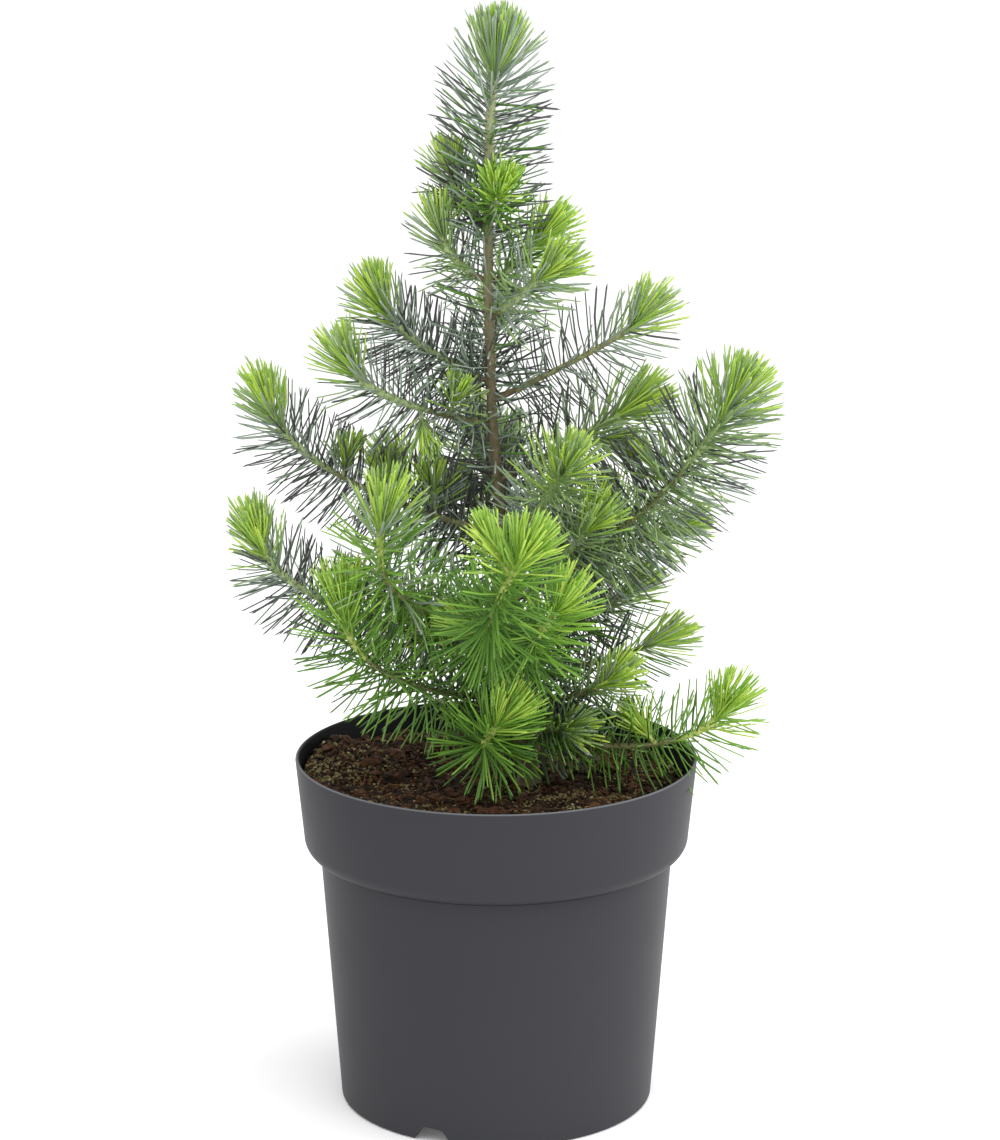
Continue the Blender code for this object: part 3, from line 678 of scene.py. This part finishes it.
# short side twigs: the shoot they stand on, their place along it from 0 to 1,
# azimuth, climb in degrees and length in mm
twigs = [
    ("left_middle", 0.3, -60, 45, 12),
    ("left_far", 0.62, -60, 70, 8),
    ("left_far", 0.43, 160, 75, 9),
    ("left_far", 0.26, -100, 70, 16),
    ("left_middle", 0.47, -80, -50, 12),
    ("left_low", 0.28, -120, 25, 18),
    ("right_far", 0.62, 165, 50, 10),
    ("right_far", 0.42, 150, 68, 12),
    ("right_middle", 0.66, -10, -20, 12),
    ("over_rim", 0.62, 175, 48, 10),
    ("front_middle", 0.5, 160, 10, 12),
    ("front_middle", 0.9, 160, 55, 16),
    ("back_middle", 0.6, 150, 40, 14),
    ("back_left", 0.6, 60, 35, 14),
    ("back_right", 0.6, 120, 35, 14),
]

limb = {
    "boughBase": 1.2 * mm,
    "baseGrowth": 0.004,
    "tipRadius": 1.0 * mm,
    "youngRadius": {"green": 1.85 * mm, "yellow": 1.75 * mm, "olive": 1.3 * mm},
    "youngRun": {"green": 46 * mm, "yellow": 30 * mm, "olive": 40 * mm},
    "step": 1.0 * mm,
    "leastBough": 6 * mm,
    "leastBare": 4 * mm,
    "boughSwell": 1.04,
    "cushionRun": 8 * mm,
    "sides": {"trunk": 28, "bough": 14, "old": 10, "young": 12, "twig": 8},
    "twigBare": 3 * mm,
    "twigNeedle": 0.8,
    "twigBend": 0.12,
    # these three are in mm, as the tables above are
    "trunkStep": 0.8,
    "twigRadii": (1.1, 0.8),
    "twigBright": 4,
}

# how far apart the needles of a shoot stand against the usual, where the photo shows it fuller or more open
openness = {
    "right_high": 1.25, "right_low": 1.4, "over_rim": 1.2, "left_middle": 1.05, "left_high": 0.55,
    "right_far": 0.46, "left_low": 0.74, "left_far": 0.75, "front_right": 0.75, "right_middle": 0.85,
    "front_middle": 0.8, "front_left": 0.85, "front_left_low": 0.85, "front_star": 0.8,
    "upper_back": 1.6, "back_left_high": 1.8, "back_right_high": 1.8, "back_middle": 1.5,
    "back_left": 1.3, "back_right": 1.3,
}

# how much shorter the youngest needles are, where it differs from the usual
youngShares = {"right_far": 0.36, "front_middle": 0.22}

# how wide some tufts open, in degrees
tuftLeans = {"left_far": 54, "left_low": 54, "left_middle": 48, "left_high": 48, "right_far": 46}

# two shades of each kind of young stem
stemTones = {
    "green": ((148, 170, 108), (186, 204, 146)),
    "yellow": ((160, 180, 84), (198, 210, 120)),
    "olive": ((118, 116, 74), (150, 150, 100)),
}


def trunkLean(height):
    return np.interp(height, [row[0] * mm for row in trunk], [row[1] * mm for row in trunk])


def trunkRadius(height):
    return np.interp(height, [row[0] * mm for row in trunk], [row[2] * mm for row in trunk])


def evenly(points, step):
    # the same path with its points at even steps
    run = np.concatenate(([0], np.cumsum(np.linalg.norm(np.diff(points, axis=0), axis=1))))
    count = max(int(run[-1] / step), 3)
    places = np.linspace(0, run[-1], count + 1)
    return np.stack([np.interp(places, run, points[:, axis]) for axis in range(3)], axis=1), places


def shootPath(name):
    height, azimuth, reach, rise, bendOut, bendUp, _, _, sway = shoots[name][:9]
    angle = radians(azimuth)
    out = np.array((cos(angle), sin(angle), 0))
    root = np.array((trunkLean(height * mm), 0, height * mm))
    bend = root + out * reach * mm * bendOut + up * rise * mm * bendUp + np.cross(up, out) * sway * mm
    tip = root + out * reach * mm + up * rise * mm
    part = np.linspace(0, 1, 61)[:, None]
    return evenly(root * (1 - part) ** 2 + bend * 2 * part * (1 - part) + tip * part ** 2, limb["step"])


def shootRadii(places):
    base = limb["boughBase"] + limb["baseGrowth"] * places[-1]
    return base + (limb["tipRadius"] - base) * places / places[-1]


# low and high end in metres of the tones of the bark, and the place and tone of each stop between the two
barkTones = {
    "trunk bark": (0.24, 0.47, ((0.2, (100, 89, 64)), (0.5, (118, 107, 80)), (0.72, (140, 135, 100)),
                                (0.95, (178, 186, 140)))),
    "bough bark": (0.15, 0.45, ((0.2, (70, 57, 40)), (0.9, (112, 100, 66)))),
}
bark = {
    "plates": (420, 420, 150),
    "fine": 900,
    "flecks": (156, 142, 114),
    "fleckShare": 0.35,
    "reliefDepth": 0.5 * mm,
}


def barkRelief(point, radius):
    plates = noise.noise(Vector([part * scale for part, scale in zip(point, bark["plates"])]))
    fine = noise.noise(point * bark["fine"])
    return radius * (0.13 * abs(plates) + 0.05 * fine - 0.05)


def shootRelief(point, radius):
    # the cushions that the needles stand on
    return radius * (0.22 * noise.noise(point * 700) + 0.12 * noise.noise(point * 2200))


def barkFinish(name):
    # its tone changes with the height, broken by noise
    low, high, stops = barkTones[name]
    finish = Finish(name)
    height = finish.axis(2)
    cloud = finish.speckle(160.0, 5.0, (1, 1, 0.45))
    part = (height - low) / (high - low) + (cloud - 0.5) * 0.35
    flecks = finish.mask(finish.speckle(700.0, 3.0, (1, 1, 0.4)), 0.42, 0.62)
    colour = finish.ramp(part, [(place, linear(*tone)) for place, tone in stops])
    colour = finish.blend(flecks * bark["fleckShare"], colour, linear(*bark["flecks"]))
    finish.relief(cloud + 0.4 * finish.speckle(1500.0), 0.5, bark["reliefDepth"])
    return finish.set(Base_Color=colour, Roughness=0.7 + 0.2 * cloud)


def stemFinish(tone):
    dark, light = stemTones[tone]
    finish = Finish(tone + " stems")
    cloud = finish.speckle(300.0, 4.0)
    mottle = finish.mask(cloud, 0.38, 0.62)
    finish.relief(finish.speckle(1400.0), 0.4, 0.3 * mm)
    colour = finish.blend(mottle, linear(*dark), linear(*light))
    return finish.set(Base_Color=colour, Roughness=0.55 + 0.2 * cloud)


def makeTrunk():
    heights = np.arange(trunk[0][0], trunk[-1][0], limb["trunkStep"]) * mm
    points = np.stack([trunkLean(heights), np.zeros(len(heights)), heights], axis=1)
    heap = Heap()
    tube(heap, points, trunkRadius(heights), limb["sides"]["trunk"], barkRelief)
    joinedPiece("trunk_bark", heap.points(), heap.faces, barkFinish("trunk bark"), ["trunk"])
    print("trunk made")


class Stem:
    # a stem that needles grow on: its path, where its needles start, their length and tone, its bright tip,
    # its growth, how far apart its needles stand against the usual and, where they differ from the usual,
    # how much shorter the youngest are and how wide the tuft opens
    def __init__(self, points, places, first, length, tone, bright, seed,
                 kind="shoot", gap=1.0, young=None, opening=None):
        self.points = points
        self.places = places
        self.first = first
        self.length = length
        self.tone = tone
        self.bright = bright
        self.seed = seed
        self.growth = growth[kind]
        self.gap = gap
        self.young = self.growth["young"] if young is None else young
        self.lean = self.growth["lean"] if opening is None else (self.growth["lean"][0], opening)


def twigPath(points, place, azimuth, climb, length):
    root = points[int(place * (len(points) - 1))]
    angle, lift = radians(azimuth), radians(climb)
    heading = np.array((cos(angle) * cos(lift), sin(angle) * cos(lift), sin(lift)))
    reach = length * mm
    tip = root + heading * reach + up * limb["twigBend"] * reach
    path = np.array([root, root + heading * reach / 2, tip])
    return evenly(path, limb["step"])


def makeLimbs():
    # bare boughs are brown, the shoots go on from them through olive to their young tone
    boughs = Heap()
    stemHeaps = {tone: Heap() for tone in stemTones}
    stems = []
    sides = limb["sides"]
    paths = {name: shootPath(name) for name in shoots}
    for seed, (name, row) in enumerate(shoots.items()):
        points, places = paths[name]
        radii = shootRadii(places)
        bare, scale, _, tone, bright, stemTone = row[6:]
        bare *= mm
        split = np.searchsorted(places, max(bare, limb["leastBough"]))
        youngRun = limb["youngRun"][stemTone]
        young = np.searchsorted(places, places[-1] - youngRun)
        young = max(young, split + 3)
        tube(boughs, points[:split + 1], radii[:split + 1] * limb["boughSwell"], sides["bough"], barkRelief)
        tube(stemHeaps["olive"], points[split:young + 1], radii[split:young + 1], sides["old"], shootRelief)
        # the young end is thicker with the cushions that its needles stand on
        fromTip = places[-1] - places[young:]
        swollen = limb["youngRadius"][stemTone]
        cushions = np.interp(fromTip, (0, limb["cushionRun"], 0.6 * youngRun, youngRun),
                             (limb["tipRadius"], swollen, swollen, radii[young]))
        tube(stemHeaps[stemTone], points[young:], cushions, sides["young"], shootRelief)
        stems.append(Stem(points, places, max(bare, limb["leastBare"]), needle["length"] * scale, tone,
                          bright * mm, seed, gap=openness.get(name, 1.0), young=youngShares.get(name),
                          opening=tuftLeans.get(name)))
    for index, (name, place, azimuth, climb, length) in enumerate(twigs):
        tone, bright, stemTone = shoots[name][9:]
        path, run = twigPath(paths[name][0], place, azimuth, climb, length)
        tube(stemHeaps[stemTone], path, np.linspace(*limb["twigRadii"], len(path)) * mm, sides["twig"],
             shootRelief)
        stems.append(Stem(path, run, limb["twigBare"], needle["length"] * limb["twigNeedle"], tone,
                          (bright + limb["twigBright"]) * mm, 100 + index, "twig"))
    boughNodes = ["bough_" + name for name in shoots if shoots[name][6]]
    joinedPiece("bough_bark", boughs.points(), boughs.faces, barkFinish("bough bark"), boughNodes)
    for tone, heap in stemHeaps.items():
        joinedPiece("shoot_stems_" + tone, heap.points(), heap.faces, stemFinish(tone))
    print("limbs made")
    return stems


# The needles

needle = {
    "length": 28 * mm,
    "trunkLength": 30.5 * mm,
    "width": 1.1 * mm,
    "depth": 0.7 * mm,
    "parts": (0.0, 0.1, 0.5, 0.93, 1.0),
    "swell": (0.65, 0.95, 1.0, 0.9, 0.0),
    "droop": -0.02,
    "curl": (-0.11, 0.08),
    "twist": 0.6,
    "spiralScatter": 0.12,
    "spreadScatter": 7.0,
    "fanScatter": 0.13,
    "youngRun": 10 * mm,
    "limeSpread": {"fresh": 44, "leader": 22},
    "freshSpread": {"fresh": 70, "leader": 42},
    "usualSpreads": (36, 54),
    "toneScatter": 6,
    "edgeScatter": 2 * mm,
    "heartShare": 0.6,
    "mixedShare": 1.4,
    "lift": 22,
    "dealRun": 5.6,
    "dealScatter": 1.2,
    "shortest": 0.4,
    "clearance": 0.6 * mm,
    "roomSpare": 0.7 * mm,
    "trunkBright": 10 * mm,
    "trunkFoot": 303 * mm,
    "leaderFoot": 412 * mm,
}

# how each kind of stem grows its needles: their spacing below and at the tip and the run between the two;
# their spread at the tip, its gain and its run; the needles of the tuft, its run, their lean and the fans
# they gather in (none: evenly); how much shorter the youngest are; a tilt that lifts those on the left;
# how much the tuft turns upwards; the scatter of the lengths; and the shortest needles of the tuft
growth = {
    "shoot": {"spacing": 0.40 * mm, "tipSpacing": 0.17 * mm, "crowdRun": 13 * mm,
              "spread": (18, 70, 18 * mm), "tuft": 64, "tuftRun": 9 * mm, "lean": (8, 42), "fans": 5,
              "young": 0.14, "tilt": 0, "aim": 0.25, "scatter": 0.07, "shortest": 0.76},
    "twig": {"spacing": 0.4 * mm, "tipSpacing": 0.24 * mm, "crowdRun": 8 * mm,
             "spread": (16, 60, 10 * mm), "tuft": 46, "tuftRun": 5 * mm, "lean": (8, 30), "fans": 2,
             "young": 0.2, "tilt": 0, "aim": 0, "scatter": 0.07, "shortest": 0.86},
    "trunk": {"spacing": 0.62 * mm, "tipSpacing": 0.62 * mm, "crowdRun": 8 * mm,
              "spread": (76, 6, 20 * mm), "tuft": 0, "tuftRun": 1 * mm, "lean": (0, 30), "fans": 0,
              "young": 0, "tilt": 0.1, "aim": 0, "scatter": 0.07, "shortest": 1},
    "leader": {"spacing": 0.28 * mm, "tipSpacing": 0.11 * mm, "crowdRun": 10 * mm,
               "spread": (12, 62, 7 * mm), "tuft": 230, "tuftRun": 5 * mm, "lean": (0, 34), "fans": 0,
               "young": -0.05, "tilt": 0.16, "aim": 3, "scatter": 0.025, "shortest": 0.94},
}

# the tones of the needles, as two near shades each, on the 0 to 255 scale of a screen
tones = {
    "lime": ((167, 201, 64), (199, 225, 104)),
    "yellow_green": ((141, 181, 60), (165, 202, 92)),
    "fresh_green": ((112, 160, 44), (136, 180, 70)),
    "soft_green": ((135, 163, 100), (161, 187, 127)),
    "leaf_green": ((84, 130, 38), (106, 150, 58)),
    "deep_green": ((58, 98, 26), (78, 118, 40)),
    "glaucous": ((140, 155, 140), (164, 178, 164)),
    "blue_green": ((103, 124, 103), (126, 143, 122)),
    "slate_green": ((66, 69, 68), (90, 93, 90)),
}

# what the needles are dealt: the old ones by their shoot's own tone, from light to dark unless the deal is
# unsorted, then those round the heart of a tuft, and those in it
deals = {
    "fresh": ("fresh_green", "leaf_green", "leaf_green", "deep_green", "leaf_green"),
    "pale": ("soft_green", "soft_green", "glaucous", "glaucous", "glaucous"),
    "mid": ("soft_green", "soft_green", "glaucous", "blue_green", "slate_green"),
    "grass": ("fresh_green", "soft_green", "leaf_green", "leaf_green", "glaucous"),
    "blue": ("glaucous", "glaucous", "blue_green", "slate_green", "slate_green"),
    "slate": ("glaucous", "blue_green", "slate_green", "slate_green", "slate_green"),
    "deep": ("soft_green", "leaf_green", "blue_green", "deep_green", "slate_green"),
    "leader": ("glaucous", "leaf_green", "blue_green", "blue_green", "slate_green"),
}
unsorted = ("fresh", "pale", "grass")
roundDeals = {
    "fresh": ("lime", "yellow_green", "fresh_green", "fresh_green", "fresh_green"),
    "leader": ("soft_green", "glaucous", "glaucous", "soft_green", "blue_green"),
    "usual": ("lime", "yellow_green", "soft_green", "soft_green", "glaucous"),
}
heartDeals = {
    "fresh": ("lime", "lime", "yellow_green", "fresh_green", "yellow_green"),
    "leader": ("lime", "soft_green", "glaucous", "soft_green", "yellow_green"),
    "usual": ("lime", "lime", "yellow_green", "soft_green", "soft_green"),
}


def toneOf(stem, spread, direction, fromTip, chance):
    # lime in the heart of the tuft, fresh round it, and the shoot's own deal below;
    # needles that point up are younger than those that hang, and those to the sides are the dark ones
    edge = fromTip + chance.gauss(0, needle["edgeScatter"])
    spread += chance.gauss(0, needle["toneScatter"]) - needle["lift"] * direction[2]
    old = deals[stem.tone]
    around = roundDeals.get(stem.tone, roundDeals["usual"])
    lime, fresh = needle["usualSpreads"]
    if spread < needle["limeSpread"].get(stem.tone, lime) and edge < stem.bright * needle["heartShare"]:
        return chance.choice(heartDeals.get(stem.tone, heartDeals["usual"]))
    if spread < needle["freshSpread"].get(stem.tone, fresh) and edge < stem.bright:
        return chance.choice(around)
    if edge < stem.bright * needle["mixedShare"]:
        return chance.choice((around[2], old[0], old[0], old[1], old[3]))
    if stem.tone in unsorted:
        return chance.choice(old)
    place = (1 - abs(direction[1])) * needle["dealRun"] + chance.gauss(0, needle["dealScatter"])
    return old[min(max(int(place), 0), len(old) - 1)]


def needlePlaces(stem):
    # closer together towards the tip
    grown = stem.growth
    end = stem.places[-1]
    place = stem.first
    while place < end - mm:
        yield place, False
        crowd = exp(-((end - place) / grown["crowdRun"]) ** 2)
        place += stem.gap * (grown["spacing"] + (grown["tipSpacing"] - grown["spacing"]) * crowd)
    for index in range(grown["tuft"]):
        yield end - grown["tuftRun"] * index / grown["tuft"], True


def tuftHeadings(stem, along, side, across, chance):
    # needles of a tuft gather round a few headings, or stand evenly
    least, most = [radians(lean) for lean in stem.lean]
    fans = stem.growth["fans"]
    turn = chance.uniform(0, 2 * pi)
    count = fans or stem.growth["tuft"]
    headings = []
    for index in range(count):
        lean = chance.uniform(least, most) if fans else most * sqrt(chance.random())
        around = turn + (index + chance.uniform(-0.2, 0.2)) * (2 * pi / fans if fans else goldenAngle)
        headings.append(along * cos(lean) + (side * cos(around) + across * sin(around)) * sin(lean))
    return headings


def needleRow(stem):
    # root, direction, outward direction, length, tone, curl and twist of each needle along a stem
    chance = random.Random(stem.seed + 1000)
    grown = stem.growth
    along, side, across = smoothFrames(stem.points)
    base, gain, run = grown["spread"]
    end = stem.places[-1]
    spiral = chance.uniform(0, 2 * pi)
    aim = unit(along[-1] + up * grown["aim"])
    headings = tuftHeadings(stem, aim, *crossFrame(aim), chance)
    scatter = needle["fanScatter"] if grown["fans"] else 0.0
    for place, inTuft in needlePlaces(stem):
        row = min(int(place / end * (len(stem.points) - 1) + 0.5), len(stem.points) - 1)
        fromTip = end - place
        ahead = along[row]
        if inTuft:
            direction = chance.choice(headings)
            sideways = side[row] * chance.gauss(0, scatter)
            direction = unit(direction + sideways + across[row] * chance.gauss(0, scatter))
            outward = unit(direction - ahead * direction.dot(ahead) + side[row] * 0.001)
            spread = acos(min(direction.dot(ahead), 1.0))
        else:
            spread = base + gain * (1 - exp(-fromTip / run)) + chance.gauss(0, needle["spreadScatter"])
            spread = radians(spread)
            spiral += goldenAngle + chance.gauss(0, needle["spiralScatter"])
            outward = side[row] * cos(spiral) + across[row] * sin(spiral)
            direction = ahead * cos(spread) + outward * sin(spread)
        direction = unit(direction - up * grown["tilt"] * direction[0])
        fan = outward * cos(spread) - ahead * sin(spread)
        young = stem.young * exp(-fromTip / needle["youngRun"])
        length = stem.length * (1 - young) * (1 + chance.uniform(-1, 1) * grown["scatter"])
        if inTuft:
            length *= chance.uniform(grown["shortest"], 1.0)
        curl = chance.gauss(*needle["curl"])
        tone = toneOf(stem, degrees(spread), direction, fromTip, chance)
        yield stem.points[row], direction, fan, length, tone, curl, chance.gauss(0, needle["twist"])


def blocked(point, onTrunk):
    # inside the pot's wall or the soil, or too near the trunk
    x, y, z = point
    if z < pot["height"] + needle["clearance"]:
        out = hypot(x, y)
        if out < pot["rimRadius"] + needle["clearance"]:
            if out > innerWall(z) - needle["clearance"] or z < soilHeight(x, y) + 2 * needle["clearance"]:
                return True
    if onTrunk or z > trunk[-1][0] * mm or z < trunk[0][0] * mm:
        return False
    return hypot(x - trunkLean(z), y) < trunkRadius(z) + needle["clearance"]


def roomFor(root, tip):
    # the share of a needle's length that stays inside the part's own box
    low, high = [np.array(corner) for corner in cadBox]
    walls = np.where(tip > root, high - needle["roomSpare"], low + needle["roomSpare"])
    return min(1.0, *((walls - root) / (tip - root)))


def needlePath(root, direction, fan, length, curl):
    parts = np.array(needle["parts"])[:, None]
    droop = needle["droop"] * (1 - abs(direction[2]))
    return root + direction * length * parts + (fan * curl + up * droop) * length * parts ** 2


def needleMesh(path, fan, twist):
    # a flattened rod: a little narrower at its foot, drawn in to a point over its last tenth
    along = unit(np.gradient(path, axis=0))
    flat = unit(np.cross(along, fan))
    thick = np.cross(flat, along)
    flat, thick = flat * cos(twist) + thick * sin(twist), thick * cos(twist) - flat * sin(twist)
    swell = np.array(needle["swell"])[:-1, None]
    wide = flat[:-1] * swell * needle["width"] / 2
    deep = thick[:-1] * swell * needle["depth"] / 2
    rings = np.stack([path[:-1] + wide, path[:-1] + deep, path[:-1] - wide, path[:-1] - deep], axis=1)
    return np.vstack([rings.reshape(-1, 3), path[-1]])


def needleFaces():
    faces = [(3, 2, 1, 0)]
    rings = len(needle["parts"]) - 1
    for ring in range(rings - 1):
        for corner in range(4):
            after = (corner + 1) % 4
            low, high = 4 * ring, 4 * (ring + 1)
            faces.append((low + corner, low + after, high + after, high + corner))
    last = 4 * (rings - 1)
    return faces + [(last + corner, last + (corner + 1) % 4, last + 4) for corner in range(4)]


def needleFinish(name):
    dark, light = tones[name]
    finish = Finish(name.replace("_", " ") + " needles")
    cloud = finish.speckle(90.0, 2.0)
    colour = finish.blend(cloud, linear(*dark), linear(*light))
    return finish.set(Base_Color=colour, Roughness=0.40 + 0.12 * finish.speckle(400.0),
                      Specular_IOR_Level=0.45)


def makeNeedles(stems):
    heaps = {tone: Heap() for tone in tones}
    faces = needleFaces()
    kept = 0
    for stem in stems:
        onTrunk = stem.tone == "leader"
        for root, direction, fan, length, tone, curl, twist in needleRow(stem):
            path = needlePath(root, direction, fan, length, curl)
            room = roomFor(root, path[-1])
            if room < 1:
                # cut to uneven lengths, so that the tips don't end along a wall
                length *= room * (1 - abs(curl))
                path = needlePath(root, direction, fan, length, curl)
            inside = [blocked(point, onTrunk) for point in path[1:]]
            if any(inside):
                part = needle["parts"][inside.index(True)]
                if part < needle["shortest"]:
                    continue
                length *= part
                path = needlePath(root, direction, fan, length, curl)
            heaps[tone].add(needleMesh(path, fan, twist), faces)
            kept += 1
    masses = ["needles_trunk", "needles_leader"] + ["needles_" + name for name in shoots]
    for index, (tone, heap) in enumerate(heaps.items()):
        nodes = masses if index == 0 else ()
        joinedPiece("needles_" + tone, heap.points(), heap.faces, needleFinish(tone), nodes)
    print("needles made:", kept)


def trunkStems():
    # the needles that stand on the trunk itself: few below, many on the leader
    stems = []
    for seed, kind, foot, top in ((6, "trunk", needle["trunkFoot"], needle["leaderFoot"]),
                                  (7, "leader", needle["leaderFoot"], trunk[-1][0] * mm)):
        heights = np.arange(trunk[0][0] * mm, top, mm)
        points = np.stack([trunkLean(heights), np.zeros(len(heights)), heights], axis=1)
        points, places = evenly(points, limb["step"])
        stems.append(Stem(points, places, foot - trunk[0][0] * mm, needle["trunkLength"], "leader",
                          needle["trunkBright"], seed, kind))
    return stems


# The studio

studio = {
    "cameraPlace": (0.0018, -1.749, 0.693),
    "pitchDown": 13.95,
    "lens": 121.67,
    "sensor": 36,
    "farEnd": 100,
    "floorSize": 30.0,
    "floorTone": (0.98, 0.98, 0.98, 1),
    "floorGlow": 0.08,
    "world": 1.0,
    # place, target, size and power of each light
    "lights": {
        "top": ((0.3, -0.9, 2.0), (0, 0, 0.28), (1.8, 1.8), 20),
        "right": ((1.6, 0.1, 0.9), (0, 0, 0.2), (1.4, 1.6), 14),
    },
}


def areaLight(name, place, target, size, power):
    light = bpy.data.lights.new(name, "AREA")
    light.shape = "RECTANGLE"
    light.size, light.size_y = size
    light.energy = power
    lamp = bpy.data.objects.new(name, light)
    lamp.location = place
    lamp.rotation_euler = (Vector(target) - Vector(place)).to_track_quat("-Z", "Y").to_euler()
    bpy.context.scene.collection.objects.link(lamp)


def makeStudio():
    scene = bpy.context.scene
    camera = bpy.data.cameras.new("camera")
    camera.lens = studio["lens"]
    camera.sensor_width = studio["sensor"]
    camera.clip_end = studio["farEnd"]
    eye = bpy.data.objects.new("camera", camera)
    eye.location = studio["cameraPlace"]
    eye.rotation_euler = (radians(90 - studio["pitchDown"]), 0, 0)
    scene.collection.objects.link(eye)
    scene.camera = eye

    shape = bmesh.new()
    bmesh.ops.create_grid(shape, x_segments=1, y_segments=1, size=studio["floorSize"] / 2)
    mesh = bpy.data.meshes.new("floor")
    shape.to_mesh(mesh)
    shape.free()
    floor = bpy.data.objects.new("floor", mesh)
    finish = Finish("white floor")
    mesh.materials.append(finish.set(Base_Color=studio["floorTone"], Roughness=0.9, Specular_IOR_Level=0.0,
                                     Emission_Color=(1, 1, 1, 1), Emission_Strength=studio["floorGlow"]))
    scene.collection.objects.link(floor)

    world = bpy.data.worlds.new("studio")
    world.use_nodes = True
    background = world.node_tree.nodes["Background"]
    background.inputs["Color"].default_value = (1, 1, 1, 1)
    background.inputs["Strength"].default_value = studio["world"]
    scene.world = world
    scene.view_settings.view_transform = "Standard"

    for name, light in studio["lights"].items():
        areaLight(name, *light)
    print("studio made")


makeStudio()
makePot()
makeSoil()
makeTrunk()
needleStems = makeLimbs() + trunkStems()
makeNeedles(needleStems)
